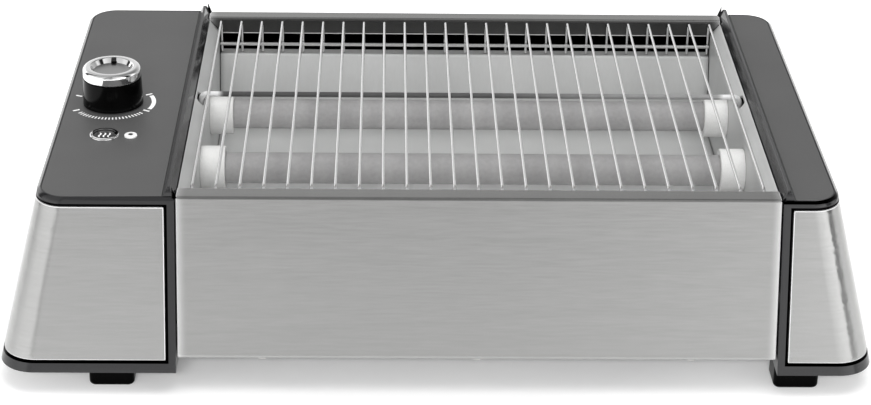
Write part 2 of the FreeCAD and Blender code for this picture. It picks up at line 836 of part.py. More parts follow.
base_plate = new_body("base_plate")
PLATE_DEPTH = TOP + " + body_lean - steel - fold - fit_gap"
grow(base_plate, "plate", window_sketch, "XY", "base_top - steel", "base_top",
     BODY_SPAN, ("-(%s)" % PLATE_DEPTH, PLATE_DEPTH), [None] * 4)
grow(base_plate, "tongues", window_sketch, "XY", "base_top - steel", "base_top",
     ("left_cheek - tongue_reach", "right_cheek + tongue_reach"),
     ("-tongue_depth / 2", "tongue_depth / 2"), ["plate_corner"] * 4)
cut(base_plate, "screw_holes", circle_sketch, "XY", "base_top - steel", "base_top",
    with_size(tongue_places("left") + tongue_places("right"), "screw_hole * 2"))
cut(base_plate, "rivet_holes", circle_sketch, "XY", "base_top - steel", "base_top",
    with_size(RIVETS, "screw_round + fit_gap / 2"))


def from_middle(side, text):
    """A place along X given as a distance from the middle of the cavity."""
    return "middle %s (%s)" % ("-" if side == "left" else "+", text)


def middle_span(side, near, far):
    """The span along X between two distances from the cavity's middle, low end first."""
    ends = [from_middle(side, near), from_middle(side, far)]
    return tuple(reversed(ends)) if side == "left" else tuple(ends)


def cavity_wall(side):
    """A side wall of the cavity with its sloping shoulder and the rack's slot."""
    outer = from_middle(side, "body_width / 2 - panel_gap")
    inner = from_middle(side, "cavity_half")
    corners = [
        (outer, "shoulder_height"),
        (inner, "crease_height"),
        (inner, "base_top + base_gap"),
        (outer, "base_top + base_gap"),
    ]
    body = folded_sheet(side + "_cavity_wall", "XZ", "-(%s - front_rim - lip_gap)" % TOP,
                        TOP + " - rear_rim - lip_gap", corners, "steel", "fold")
    cut(body, "neck_holes", circle_sketch, "YZ", *middle_span(side, "cavity_half - past",
        "cavity_half + steel + past"), NECK_HOLES)
    cut(body, "rack_slot", window_sketch, "XY", "crease_height", "shoulder_height",
        middle_span(side, "cross_half - slot_half", "cross_half + slot_half"),
        ("cross_place + slot_half - slot_length", "cross_place + slot_half"),
        ["slot_half - base_gap"] * 4)
    return body


def reflector(label, sign, leg):
    """The sloping reflector under the rack's end, with the ledge that carries its legs."""
    inner = "%s - ledge / 2 + wire_round / 2" % leg
    corners = [
        (front_or_rear(sign, inner + " + ledge"), "ledge_height"),
        (front_or_rear(sign, inner), "ledge_height"),
        (front_or_rear(sign, inner + " - reflector_depth"), "reflector_bottom"),
        (front_or_rear(sign, inner + " - reflector_depth + reflector_foot"), "reflector_bottom"),
    ]
    return folded_sheet(label, "YZ", "middle - reflector_half", "middle + reflector_half",
                        corners, "tray_sheet", "fold")


for side in ENDS:
    cavity_wall(side)
reflector("front_reflector", -1, "rack_front")
reflector("rear_reflector", 1, "rack_rear")


# Crumb drawer
tray = new_body("crumb_tray")
grow(tray, "form", window_sketch, "XY", "rail_height", "tray_top", TRAY_SPAN,
     ("-tray_front", "tray_rear"), ["tray_fold"] * 4)


def tray_floor_edge(edge):
    return close(box_of(edge).ZMax, amount_of("rail_height"))


def tray_mouth(face):
    return close(box_of(face).ZMin, amount_of("tray_top"))


round_edges(tray, "floor_folds", tray_floor_edge, "tray_fold")
hollow_out(tray, "gauge", tray_mouth, "tray_sheet")
PULL_FACE = "tray_rear + base_gap"
PULL_TOP = "steel_bottom + seam + pull_height"
pull = new_body("tray_pull")
grow(pull, "profile", outline_sketch, "YZ", TRAY_SPAN[0] + " - pull_over", TRAY_SPAN[1] + " + pull_over", [
    (PULL_FACE, "steel_bottom + seam"),
    (PULL_FACE + " + steel", "steel_bottom + seam"),
    (PULL_FACE + " + steel", PULL_TOP + " - steel"),
    (PULL_FACE + " + pull_lip", PULL_TOP + " - steel"),
    (PULL_FACE + " + pull_lip", PULL_TOP),
    (PULL_FACE, PULL_TOP),
])


# Heating tubes, their ceramic caps and the pins that feed them
ROWS = {"front": "-tube_place", "rear": "tube_place"}


def x_bar(body, name, side, near, far, y, across, remove=False):
    """A round length along X on one side of the middle, added or cut."""
    low, high = middle_span(side, near, far)
    work = cut if remove else grow
    return work(body, name, circle_sketch, "YZ", low, high, [(y, "tube_height", across)])


def ceramic_cap(row, side):
    """A cap that carries a tube's end and passes through the wall into the end."""
    body = new_body("%s_%s_ceramic_cap" % (row, side))
    y = ROWS[row]
    x_bar(body, "head", side, "cap_end", "cavity_half - base_gap", y, "cap_round")

    def mouth_edge(edge):
        return close(box_of(edge).XMin, amount_of(from_middle(side, "cap_end"))) and \
            box_of(edge).XLength < 0.01
    round_edges(body, "mouth_round", mouth_edge, "collar / 2")
    x_bar(body, "neck", side, "cavity_half - collar", "neck_end", y, "neck_round")
    x_bar(body, "socket", side, "cap_end", "tube_end + bore_gap", y, "tube_round + bore_gap * 2", True)
    x_bar(body, "pin_bore", side, "tube_end", "neck_end", y, "pin_round + bore_gap * 2", True)
    return body


for row, y in ROWS.items():
    tube = new_body(row + "_quartz_tube")
    grow(tube, "rod", circle_sketch, "YZ", "middle - tube_end", "middle + tube_end",
         [(y, "tube_height", "tube_round")])
    cut(tube, "bore", circle_sketch, "YZ", "middle - tube_end", "middle + tube_end",
        [(y, "tube_height", "tube_round - tube_wall * 2")])
    coil = new_body(row + "_heating_coil")
    grow(coil, "winding", circle_sketch, "YZ", "middle - pin_start - coil_past",
         "middle + pin_start + coil_past",
         [(y, "tube_height", "coil_round")])
    cut(coil, "bore", circle_sketch, "YZ", "middle - pin_start - coil_past",
         "middle + pin_start + coil_past",
        [(y, "tube_height", "coil_round - coil_wall * 2")])
    for side in ENDS:
        ceramic_cap(row, side)

pins = new_body("tube_terminals")
COLLAR_END = "neck_end + fit_gap + collar"
for row, y in ROWS.items():
    for side in ENDS:
        place = row + "_" + side
        x_bar(pins, place + "_pin", side, "pin_start", COLLAR_END + " + pin_reach", y, "pin_round")
        x_bar(pins, place + "_collar", side, "neck_end + fit_gap", COLLAR_END, y, "collar_round")

bar = new_body("link_bar")
BAR_SPAN = middle_span("right", COLLAR_END + " + fit_gap", COLLAR_END + " + fit_gap + bar_sheet")
grow(bar, "strip", window_sketch, "YZ", BAR_SPAN[0], BAR_SPAN[1],
     ("-tube_place - bar_width / 2", "tube_place + bar_width / 2"),
     ("tube_height - bar_width / 2", "tube_height + bar_width / 2"), ["bar_width / 2 - fit_gap * 2"] * 4)
cut(bar, "pin_holes", circle_sketch, "YZ", BAR_SPAN[0], BAR_SPAN[1],
    [(y, "tube_height", "pin_round + bore_gap") for y in ROWS.values()])


# Wire rack
def bent_path(body, name, role, offset, corners, bend):
    """An open path of upright and level runs, joined by round bends."""
    sketch = new_sketch(body, name, role, offset)
    points = [Vector(amount_of(x), amount_of(y), 0) for x, y in corners]
    radius = amount_of(bend)
    steps = [(after - before).normalize() for before, after in zip(points, points[1:])]
    last = len(steps) - 1
    for number, step in enumerate(steps):
        start = points[number] + step * (radius if number else 0)
        end = points[number + 1] - step * (radius if number < last else 0)
        sketch.addGeometry(Part.LineSegment(start, end), False)
    for number in range(last):
        before, after = steps[number], steps[number + 1]
        corner = points[number + 1]
        centre = corner - before * radius + after * radius
        angles = [math.atan2(-after.y, -after.x), math.atan2(before.y, before.x)]
        turning_left = before.x * after.y - before.y * after.x > 0
        first, second = angles if turning_left else reversed(angles)
        circle = Part.Circle(centre, Vector(0, 0, 1), radius)
        if second < first:
            second += 2 * math.pi
        arc = sketch.addGeometry(Part.ArcOfCircle(circle, first, second), False)
        start_end, far_end = (1, 2) if turning_left else (2, 1)
        sketch.addConstraint(Sketcher.Constraint("Tangent", number, 2, arc, start_end))
        sketch.addConstraint(Sketcher.Constraint("Tangent", arc, far_end, number + 1, 1))
        rule = sketch.addConstraint(Sketcher.Constraint("Radius", arc, radius))
        bind(sketch, "Constraints[%d]" % rule, bend)
    for number, step in enumerate(steps):
        level = abs(step.x) > abs(step.y)
        sketch.addConstraint(Sketcher.Constraint("Horizontal" if level else "Vertical", number))
        if level:
            hold(sketch, "DistanceY", number, 1, corners[number][1])
        else:
            hold(sketch, "DistanceX", number, 1, corners[number][0])
    first_level = abs(steps[0].x) > abs(steps[0].y)
    last_level = abs(steps[last].x) > abs(steps[last].y)
    hold(sketch, "DistanceX" if first_level else "DistanceY", 0, 1,
         corners[0][0] if first_level else corners[0][1])
    hold(sketch, "DistanceX" if last_level else "DistanceY", last, 2,
         corners[-1][0] if last_level else corners[-1][1])
    return sketch


def bent_rod(body, name, path, section):
    """A round wire swept along a path."""
    pipe = body.newObject("PartDesign::AdditivePipe", name)
    pipe.Profile = section
    pipe.Spine = (path, [])
    doc.recompute()
    return pipe


wires = new_body("rack_wires")
bind(wires, ".Placement.Base.x", "middle - wire_half")
wire_path = bent_path(wires, "wire_path", "YZ", "0", [
    ("-rack_front", "rack_bottom"),
    ("-rack_front", "wire_line"),
    ("rack_rear", "wire_line"),
    ("rack_rear", "rack_bottom"),
], "wire_bend")
wire_section = circle_sketch(wires, "wire_section", "XY", "rack_bottom",
                             [("0", "-rack_front", "wire_round")])
wire = bent_rod(wires, "wire", wire_path, wire_section)
row = wires.newObject("PartDesign::LinearPattern", "wire_row")
row.Originals = [wire]
for feature in wires.Origin.OriginFeatures:
    if feature.Role == "X_Axis":
        row.Direction = (feature, [""])
row.Length = amount_of("wire_half * 2")
bind(row, "Length", "wire_half * 2")
row.Occurrences = int(amount_of("wire_count"))
bind(row, "Occurrences", "wire_count")
wires.Tip = row

cross = new_body("rack_cross_rod")
bind(cross, ".Placement.Base.x", "middle")
cross_path = bent_path(cross, "rod_path", "XZ", "-cross_place", [
    ("-cross_half", "cross_line - cross_drop"),
    ("-cross_half", "cross_line"),
    ("cross_half", "cross_line"),
    ("cross_half", "cross_line - cross_drop"),
], "cross_bend")
cross_section = circle_sketch(cross, "rod_section", "XY", "cross_line - cross_drop",
                              [("-cross_half", "cross_place", "cross_round")])
bent_rod(cross, "rod", cross_path, cross_section)

for row, leg in (("front", "rack_front"), ("rear", "rack_rear")):
    rod = new_body("rack_%s_rod" % row)
    inside = "%s - wire_round / 2 - side_rod / 2 - weld" % leg
    grow(rod, "rod", circle_sketch, "YZ", "middle - wire_half - wire_round / 2",
         "middle + wire_half + wire_round / 2",
         [(front_or_rear(-1 if row == "front" else 1, inside), "side_rod_height", "side_rod")])


# Timer and its knob
def stand_at(body, x, y):
    """Set a turned piece on its own upright axis."""
    base = Vector(amount_of(x), amount_of(y), 0)
    body.Placement = FreeCAD.Placement(base, FreeCAD.Rotation())
    bind(body, ".Placement.Base.x", x)
    bind(body, ".Placement.Base.y", y)


case = new_body("timer_case")
stand_at(case, KNOB_X, "-knob_place")
grow(case, "block", window_sketch, "XY", "timer_bottom", "timer_top", centred("timer_side"),
     centred("timer_side"), ["plate_corner"] * 4)
grow(case, "ears", window_sketch, "XY", "timer_top - timer_ear_sheet", "timer_top",
     centred("timer_ear_side"), centred("timer_side + timer_ear * 2"), ["plate_corner"] * 4)
grow(case, "hub", circle_sketch, "XY", "timer_top", "deck_height - fit_gap", [("0", "0", "timer_hub")])
cut(case, "shaft_bore", circle_sketch, "XY", "timer_bottom + wall", "deck_height",
    [("0", "0", "shaft_round + shaft_gap * 2")])
ear_middle = "timer_side / 2 + timer_ear / 2"
cut(case, "ear_holes", circle_sketch, "XY", "timer_top - timer_ear_sheet", "timer_top",
    [("0", ear_middle, "screw_hole * 2"), ("0", "-(%s)" % ear_middle, "screw_hole * 2")])

RING_FOOT = "ring_bore / 2 - ring_cone"
RING_BOTTOM = "knob_top - ring_height"
CORE_TOP = "knob_top - disc_drop - disc_sheet"
shaft = new_body("timer_shaft")
stand_at(shaft, KNOB_X, "-knob_place")
grow(shaft, "rod", circle_sketch, "XY", "timer_bottom + wall + fit_gap", CORE_TOP + " - wall",
     [("0", "0", "shaft_round")])
cut(shaft, "flat", window_sketch, "XY", "knob_bottom", CORE_TOP,
    ("shaft_round / 2 - shaft_flat", "shaft_round"), centred("shaft_round"), [None] * 4)

knob = new_body("timer_knob")
stand_at(knob, KNOB_X, "-knob_place")
turn(knob, "form", [
    ("0", "knob_bottom"),
    ("knob_round / 2", "knob_bottom"),
    ("knob_round / 2 - knob_taper", RING_BOTTOM + " - fit_gap / 2"),
    (RING_FOOT + " - fit_gap / 2", RING_BOTTOM + " - fit_gap / 2"),
    (RING_FOOT + " - fit_gap / 2", CORE_TOP),
    ("0", CORE_TOP),
])
turn(knob, "hollow", [
    ("knob_hub / 2", "knob_bottom"),
    ("knob_round / 2 - knob_wall", "knob_bottom"),
    ("knob_round / 2 - knob_wall", "knob_bottom + knob_hollow"),
    ("knob_hub / 2", "knob_bottom + knob_hollow"),
], remove=True)
cut(knob, "shaft_socket", circle_sketch, "XY", "knob_bottom", CORE_TOP + " - wall + fit_gap",
    [("0", "0", "shaft_round + shaft_gap * 2")])
grow(knob, "socket_flat", window_sketch, "XY", "knob_bottom + fit_gap", CORE_TOP + " - wall",
     ("shaft_round / 2 - shaft_flat + shaft_gap", "shaft_round / 2 + shaft_flat"),
     centred("shaft_round"), [None] * 4)
grow(knob, "pointer", window_sketch, "XY", RING_BOTTOM + " - wall / 2", "knob_top - disc_drop / 2",
     centred("pointer_width"), (RING_FOOT + " - disc_sheet", "ring_bore / 2"), [None] * 4)

ring = new_body("knob_ring")
stand_at(ring, KNOB_X, "-knob_place")
turn(ring, "form", [
    (RING_FOOT, RING_BOTTOM),
    ("ring_round / 2", RING_BOTTOM),
    ("ring_round / 2", "knob_top"),
    ("ring_bore / 2", "knob_top"),
    (RING_FOOT, "knob_top - disc_drop"),
])


def ring_top_edge(edge):
    box = box_of(edge)
    return close(box.ZMin, amount_of("knob_top")) and close(box.XLength, amount_of("ring_round"))


def ring_lip_edge(edge):
    box = box_of(edge)
    at_top = close(box.ZMin, amount_of("knob_top")) and close(box.XLength, amount_of("ring_bore"))
    at_foot = close(box.ZMax, amount_of(RING_BOTTOM))
    return at_top or at_foot and close(box.XLength, amount_of("ring_round"))


round_edges(ring, "outer_round", ring_top_edge, "ring_edge")
round_edges(ring, "lips", ring_lip_edge, "ring_lip")
cut(ring, "pointer_notch", window_sketch, "XY", RING_BOTTOM, "knob_top",
    centred("pointer_width + fit_gap"), ("0", "ring_bore / 2 + fit_gap"), [None] * 4)

disc = new_body("knob_disc")
stand_at(disc, KNOB_X, "-knob_place")
grow(disc, "plate", circle_sketch, "XY", CORE_TOP, "knob_top - disc_drop",
     [("0", "0", "(%s - fit_gap / 2) * 2" % RING_FOOT)])
cut(disc, "pointer_notch", window_sketch, "XY", CORE_TOP, "knob_top - disc_drop",
    centred("pointer_width + fit_gap"), (RING_FOOT + " - disc_sheet - fit_gap / 2", "ring_bore / 2"),
    [None] * 4)


# Button, its switch and the pilot lamp
BORE = "button_round / 2 + button_gap"
bezel = new_body("button_bezel")
stand_at(bezel, KNOB_X, "-button_place")
turn(bezel, "form", [
    (BORE, "switch_top + fit_gap"),
    ("bezel_neck / 2", "switch_top + fit_gap"),
    ("bezel_neck / 2", "deck_height"),
    ("bezel_round / 2", "deck_height"),
    ("bezel_round / 2", "deck_height + bezel_rise"),
    (BORE, "deck_height + bezel_rise"),
])


def bezel_top_edge(edge):
    box = box_of(edge)
    return close(box.ZMin, amount_of("deck_height + bezel_rise")) and \
        close(box.XLength, amount_of("bezel_round"))


round_edges(bezel, "outer_round", bezel_top_edge, "bezel_rise / 2")

button = new_body("push_button")
stand_at(button, KNOB_X, "-button_place")
turn(button, "form", [
    ("0", "cap_bottom - stem_length"),
    ("stem_round / 2", "cap_bottom - stem_length"),
    ("stem_round / 2", "cap_bottom"),
    ("button_round / 2", "cap_bottom"),
    ("button_round / 2", "deck_height + button_rise"),
    ("0", "deck_height + button_rise"),
])


def button_top_edge(edge):
    return close(box_of(edge).ZMin, amount_of("deck_height + button_rise"))


round_edges(button, "cap_round", button_top_edge, "button_rise")

spring = new_body("button_spring")
stand_at(spring, KNOB_X, "-button_place")
turn(spring, "winding", [
    ("spring_round / 2 - spring_wire", "switch_top - spring_seat + base_gap"),
    ("spring_round / 2", "switch_top - spring_seat + base_gap"),
    ("spring_round / 2", "cap_bottom - base_gap"),
    ("spring_round / 2 - spring_wire", "cap_bottom - base_gap"),
])

switch = new_body("switch_body")
stand_at(switch, KNOB_X, "-button_place")
grow(switch, "block", window_sketch, "XY", "switch_top - switch_height", "switch_top",
     centred("switch_side"), centred("switch_side"), ["plate_corner / 2"] * 4)
cut(switch, "spring_well", circle_sketch, "XY", "switch_top - spring_seat", "switch_top",
    [("0", "0", "spring_round + hole_gap * 2")])
cut(switch, "stem_well", circle_sketch, "XY", "switch_top - stem_bore", "switch_top",
    [("0", "0", "stem_round + hole_gap")])

lens = new_body("pilot_lens")
stand_at(lens, LENS_X, "-button_place")
turn(lens, "form", [
    ("0", "hollow_top - past"),
    ("lens_neck / 2", "hollow_top - past"),
    ("lens_neck / 2", "deck_height"),
    ("lens_round / 2", "deck_height"),
    ("lens_round / 2", "deck_height + lens_rise"),
    ("0", "deck_height + lens_rise"),
])


def lens_top_edge(edge):
    return close(box_of(edge).ZMin, amount_of("deck_height + lens_rise"))


round_edges(lens, "dome", lens_top_edge, "lens_rise * 0.6")

lamp = new_body("pilot_lamp")
stand_at(lamp, LENS_X, "-button_place")
grow(lamp, "glass", circle_sketch, "XY", "hollow_top - 1 - fit_gap - lamp_length",
     "hollow_top - 1 - fit_gap", [("0", "0", "lamp_round")])


def lamp_lower_edge(edge):
    return close(box_of(edge).ZMax, amount_of("hollow_top - 1 - fit_gap - lamp_length"))


round_edges(lamp, "tip", lamp_lower_edge, "lamp_round * 0.3")


# Mains parts in the control end
block = new_body("terminal_block")
stand_at(block, outward("left", "block_from_cheek"), "block_place")
grow(block, "block", window_sketch, "XY", "cover_top + base_gap", "cover_top + base_gap + block_height",
     centred("block_length"), centred("block_width"), ["plate_corner / 2"] * 4)
for way, place in (("left", "-block_length / 3"), ("centre", "0"), ("right", "block_length / 3")):
    cut(block, way + "_screw_well", circle_sketch, "XY", "cover_top + block_height / 2",
        "cover_top + base_gap + block_height", [(place, "0", "screw_round + hole_gap * 2")])
    cut(block, way + "_wire_way", circle_sketch, "XZ", "-block_width / 2", "block_width / 2",
        [(place, "cover_top + block_height * 0.4", "screw_round + hole_gap")])

gland = new_body("cord_gland")
GLAND_X = outward("left", "gland_from_cheek")
GLAND_INNER = "end_top_depth / 2 + end_slope * (deck_height - gland_height) - gland_inside"
GLAND_OUTER = "end_top_depth / 2 + end_slope * (deck_height - gland_height) + gland_rise"
grow(gland, "barrel", circle_sketch, "XZ", GLAND_INNER, GLAND_OUTER,
     [(GLAND_X, "gland_height", "gland_round")])
grow(gland, "collar", circle_sketch, "XZ", GLAND_INNER, GLAND_INNER + " + gland_collar_length",
     [(GLAND_X, "gland_height", "gland_collar")])
cut(gland, "bore", circle_sketch, "XZ", GLAND_INNER, GLAND_OUTER, [(GLAND_X, "gland_height", "gland_bore")])


def gland_mouth(edge):
    return close(box_of(edge).YMin, amount_of(GLAND_OUTER))


round_edges(gland, "mouth", gland_mouth, "gland_mouth")


# Fasteners, all driven from below
def fasteners(label, places, seat, length, head, across="screw_head"):
    """A group of equal fasteners whose heads seat against a face at one height."""
    body = new_body(label)
    grow(body, "heads", circle_sketch, "XY", "%s - (%s)" % (seat, head), seat, with_size(places, across))
    grow(body, "shanks", circle_sketch, "XY", seat, "%s + %s" % (seat, length),
         with_size(places, "screw_round"))
    return body


fasteners("foot_screws", foot_places("left") + foot_places("right"), "foot_well", "screw_length",
          "screw_head_height")
fasteners("base_cover_screws", boss_places("left") + boss_places("right"), "end_bottom",
          "screw_length", "screw_head_height")
fasteners("end_screws", tongue_places("left") + tongue_places("right"), "base_top - steel",
          "screw_length", "screw_head_height")
fasteners("timer_screws", TIMER_PLACES, "timer_top - timer_ear_sheet", "screw_length / 2 + 2",
          "screw_head_height")
fasteners("panel_rivets", RIVETS, "steel_bottom", "(base_top - steel_bottom)", "rivet_head")


# Check every object, then write each piece
doc.recompute()
for thing in doc.Objects:
    if "Invalid" in thing.State or "Error" in thing.State:
        raise RuntimeError("%s failed: %s" % (thing.Label, thing.State))
os.makedirs("parts", exist_ok=True)
for body in nodes:
    if body.Shape.isNull() or not body.Shape.isValid():
        raise RuntimeError(body.Label + " has no valid shape")
    body.Shape.exportStep("parts/%s.step" % body.Label)
    size = body.Shape.BoundBox
    print("%-26s %3d solids  x %7.1f %7.1f  y %7.1f %7.1f  z %6.1f %6.1f" % (
        body.Label, len(body.Shape.Solids), size.XMin, size.XMax, size.YMin, size.YMax,
        size.ZMin, size.ZMax))
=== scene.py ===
# %% [markdown]
# # A flat toaster
#
# The toaster is a low steel box between two moulded ends. Bread lies on the wire
# rack over two quartz heating tubes. The measured model is already there as a fixed
# frame, so this file only dresses it: it lights it, gives every sheet, moulding and
# wire its finish, rounds the edges that show, and adds the fine things that the
# measured model leaves out.

# %% Load the measured model
import json
import math

import bmesh
import bpy
from mathutils import Matrix, Vector
from mathutils.bvhtree import BVHTree


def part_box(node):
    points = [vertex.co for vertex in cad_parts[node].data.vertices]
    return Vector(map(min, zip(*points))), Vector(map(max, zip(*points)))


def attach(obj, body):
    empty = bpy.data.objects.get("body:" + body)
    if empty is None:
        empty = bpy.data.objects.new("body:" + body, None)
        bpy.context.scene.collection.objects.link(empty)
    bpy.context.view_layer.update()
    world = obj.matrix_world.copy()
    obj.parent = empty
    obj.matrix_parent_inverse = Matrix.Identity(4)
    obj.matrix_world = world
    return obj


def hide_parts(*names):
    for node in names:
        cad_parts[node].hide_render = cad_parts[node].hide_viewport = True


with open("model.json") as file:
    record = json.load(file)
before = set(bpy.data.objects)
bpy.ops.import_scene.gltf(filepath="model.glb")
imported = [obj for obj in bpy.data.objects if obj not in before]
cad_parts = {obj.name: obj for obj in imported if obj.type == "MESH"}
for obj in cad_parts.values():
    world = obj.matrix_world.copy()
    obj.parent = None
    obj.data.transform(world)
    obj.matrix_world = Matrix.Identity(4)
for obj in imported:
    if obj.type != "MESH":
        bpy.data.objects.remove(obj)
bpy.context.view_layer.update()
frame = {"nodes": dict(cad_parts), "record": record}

NODES = frame["nodes"]
MM = 0.001

# %% [markdown]
# ## The camera
#
# The photograph was taken with a long lens from a little above, almost straight on.
# The camera's place and turn are worked out from the toaster's own corners, so the
# picture can be laid over the photograph. A small shift moves the lens axis off the
# middle of the frame, as cropping a picture does.

# %% Set the camera
FRAME_WIDTH, FRAME_HEIGHT = 871, 405
FOCAL_PIXELS = 2265.0
AXIS_X, AXIS_Y = 429.5, 201.9
YAW, PITCH, ROLL = math.radians(1.26), math.radians(26.40), math.radians(0.89)
EYE = Vector((-23.69, -990.56, 521.53)) * MM

forward = Vector((math.sin(YAW) * math.cos(PITCH), math.cos(YAW) * math.cos(PITCH),
                  -math.sin(PITCH)))
level = Vector((math.cos(YAW), -math.sin(YAW), 0))
upright = level.cross(forward)
right = level * math.cos(ROLL) + upright * math.sin(ROLL)
up = upright * math.cos(ROLL) - level * math.sin(ROLL)

lens = bpy.data.cameras.new("photo_lens")
lens.sensor_width = 36.0
lens.lens = FOCAL_PIXELS * lens.sensor_width / FRAME_WIDTH
lens.shift_x = (FRAME_WIDTH / 2 - AXIS_X) / FRAME_WIDTH
lens.shift_y = (AXIS_Y - FRAME_HEIGHT / 2) / FRAME_WIDTH
lens.clip_start = 0.05
camera = bpy.data.objects.new("photo_camera", lens)
bpy.context.scene.collection.objects.link(camera)
turn = Matrix((right, up, -forward)).transposed().to_4x4()
camera.matrix_world = Matrix.Translation(EYE) @ turn
bpy.context.scene.camera = camera
bpy.context.scene.view_settings.view_transform = "Standard"
print("lens", round(lens.lens, 2), "mm")

# %% [markdown]
# ## Floor and light
#
# The photograph has a pure white ground with a soft shadow under the toaster. The
# floor is a plain pale diffuse sheet, so it keeps the shadow. A little light of its
# own, shown only to the camera, to mirrors and to glass, lifts it to white without
# lighting the toaster more. It has least of it next to the toaster, where the shadow
# lies, and more of it farther away.

# %% Helpers for materials
def link(tree, source, target):
    """Join a node's output to a node's input."""
    tree.links.new(source, target)


def start_material(name):
    """A material with one surface shader: the material, its node tree, the shader."""
    material = bpy.data.materials.new(name)
    material.use_nodes = True
    tree = material.node_tree
    tree.nodes.clear()
    output = tree.nodes.new("ShaderNodeOutputMaterial")
    shader = tree.nodes.new("ShaderNodeBsdfPrincipled")
    link(tree, shader.outputs["BSDF"], output.inputs["Surface"])
    return material, tree, shader


def math_node(tree, operation, first, second):
    """One sum of two numbers, each a socket or a plain value."""
    node = tree.nodes.new("ShaderNodeMath")
    node.operation = operation
    for socket, value in zip(node.inputs, (first, second)):
        if isinstance(value, (int, float)):
            socket.default_value = value
        else:
            link(tree, value, socket)
    return node.outputs[0]


def grey_ramp(tree, value, stops):
    """A grey that follows a value through (place, grey) stops."""
    ramp = tree.nodes.new("ShaderNodeValToRGB")
    elements = ramp.color_ramp.elements
    while len(elements) < len(stops):
        elements.new(0.5)
    for element, (place, grey) in zip(elements, stops):
        element.position = place
        element.color = (grey, grey, grey, 1)
    link(tree, value, ramp.inputs["Fac"])
    return ramp.outputs["Color"]


# %% Lay the floor
FLOOR_SPAN = 60.0
FLOOR_COLOUR = (0.82, 0.82, 0.82, 1)
# The strength of the floor's own light at a distance in metres from the middle.
LIFT_REACH = 3.0
FLOOR_LIFTS = [(0.0, 0.07), (0.14, 0.07), (0.17, 0.13), (0.25, 0.32), (LIFT_REACH, 0.42)]
bpy.ops.object.select_all(action="DESELECT")
bpy.ops.mesh.primitive_plane_add(size=FLOOR_SPAN, location=(0, 0, 0))
floor = bpy.context.object
floor.name = "floor"
material, tree, shader = start_material("pale_floor")
shader.inputs["Base Color"].default_value = FLOOR_COLOUR
shader.inputs["Roughness"].default_value = 1.0
shader.inputs["Specular IOR Level"].default_value = 0.0
rays = tree.nodes.new("ShaderNodeLightPath")
seen = math_node(tree, "ADD", rays.outputs["Is Camera Ray"], rays.outputs["Is Glossy Ray"])
seen = math_node(tree, "ADD", seen, rays.outputs["Is Transmission Ray"])
seen = math_node(tree, "MINIMUM", seen, 1.0)
coords = tree.nodes.new("ShaderNodeTexCoord")
reach = tree.nodes.new("ShaderNodeVectorMath")
reach.operation = "LENGTH"
link(tree, coords.outputs["Object"], reach.inputs[0])
lift = grey_ramp(tree, math_node(tree, "DIVIDE", reach.outputs["Value"], LIFT_REACH),
                 [(place / LIFT_REACH, grey) for place, grey in FLOOR_LIFTS])
link(tree, math_node(tree, "MULTIPLY", seen, lift), shader.inputs["Emission Strength"])
shader.inputs["Emission Color"].default_value = (1, 1, 1, 1)
floor.data.materials.append(material)
print("floor", FLOOR_SPAN, "m")

# %% [markdown]
# ## The room in the metal
#
# Metal only looks like metal when the room that it mirrors has lighter and darker
# parts. So the world is a studio seen from the toaster: pale panels stand at its
# left and right, a narrow dark gap parts them on each side, it is greyer in front
# and behind, and dimmer overhead. The bands follow the compass direction, and the
# dimming follows the height, both read from the direction in which a ray leaves.

# %% Set the world
world = bpy.data.worlds.new("studio_room")
bpy.context.scene.world = world
world.use_nodes = True
tree = world.node_tree
tree.nodes.clear()
output = tree.nodes.new("ShaderNodeOutputWorld")
sky = tree.nodes.new("ShaderNodeBackground")
link(tree, sky.outputs[0], output.inputs[0])
direction = tree.nodes.new("ShaderNodeTexCoord")
parts = tree.nodes.new("ShaderNodeSeparateXYZ")
link(tree, direction.outputs["Generated"], parts.inputs[0])

# Degrees round from straight in front of the toaster, positive to its right, and how
# bright the room is there.
PANELS = [(-180, 0.95), (-140, 1.5), (-122, 1.9), (-115, 0.04), (-102, 0.04), (-97, 1.1),
          (-77, 1.6), (-34, 1.7), (-23, 0.70), (-13, 0.98), (-6, 0.90), (-3, 0.78),
          (1, 0.70), (4, 0.76), (7, 0.94), (9, 1.06), (11, 1.35), (22, 1.6), (40, 2.0),
          (59, 2.4), (64, 0.04), (81, 0.05), (88, 1.2), (100, 1.5), (112, 0.50),
          (135, 0.50), (165, 0.80), (180, 0.95)]
# The share that is left of it at a height, from 0 at the horizon to 1 overhead.
OVERHEAD = [(0.0, 1.0), (0.25, 0.95), (0.6, 0.42), (1.0, 0.34)]
backward = math_node(tree, "MULTIPLY", parts.outputs["Y"], -1.0)
compass = math_node(tree, "ARCTAN2", parts.outputs["X"], backward)
turned = math_node(tree, "ADD", math_node(tree, "DIVIDE", compass, 2 * math.pi), 0.5)
round_room = grey_ramp(tree, turned, [(0.5 + place / 360, grey) for place, grey in PANELS])
overhead = grey_ramp(tree, parts.outputs["Z"], OVERHEAD)
mixed = tree.nodes.new("ShaderNodeMix")
mixed.data_type = "RGBA"
mixed.blend_type = "MULTIPLY"
mixed.inputs["Factor"].default_value = 1.0
link(tree, round_room, mixed.inputs[6])
link(tree, overhead, mixed.inputs[7])
link(tree, mixed.outputs[2], sky.inputs["Color"])
sky.inputs["Strength"].default_value = 1.0
print("room panels", len(PANELS))

# %% [markdown]
# Two lamps do the rest. A large one overhead gives the soft shadow. A low one in front
# shines past the front panel's rim into the open cavity, along the camera's own line
# of sight. Neither shows in the picture or in the metal.

# %% Hang the soft lamps
# Each lamp's place, the point that it faces, its width and depth, and its watts.
LAMPS = {
    "overhead_lamp": ((0.1, 0.1, 1.6), (0, 0, 0), 1.6, 1.2, 18.0),
    "low_front_lamp": ((-0.2, -2.11, 1.163), (0, 0.09, 0.02), 1.0, 0.3, 30.0),
}


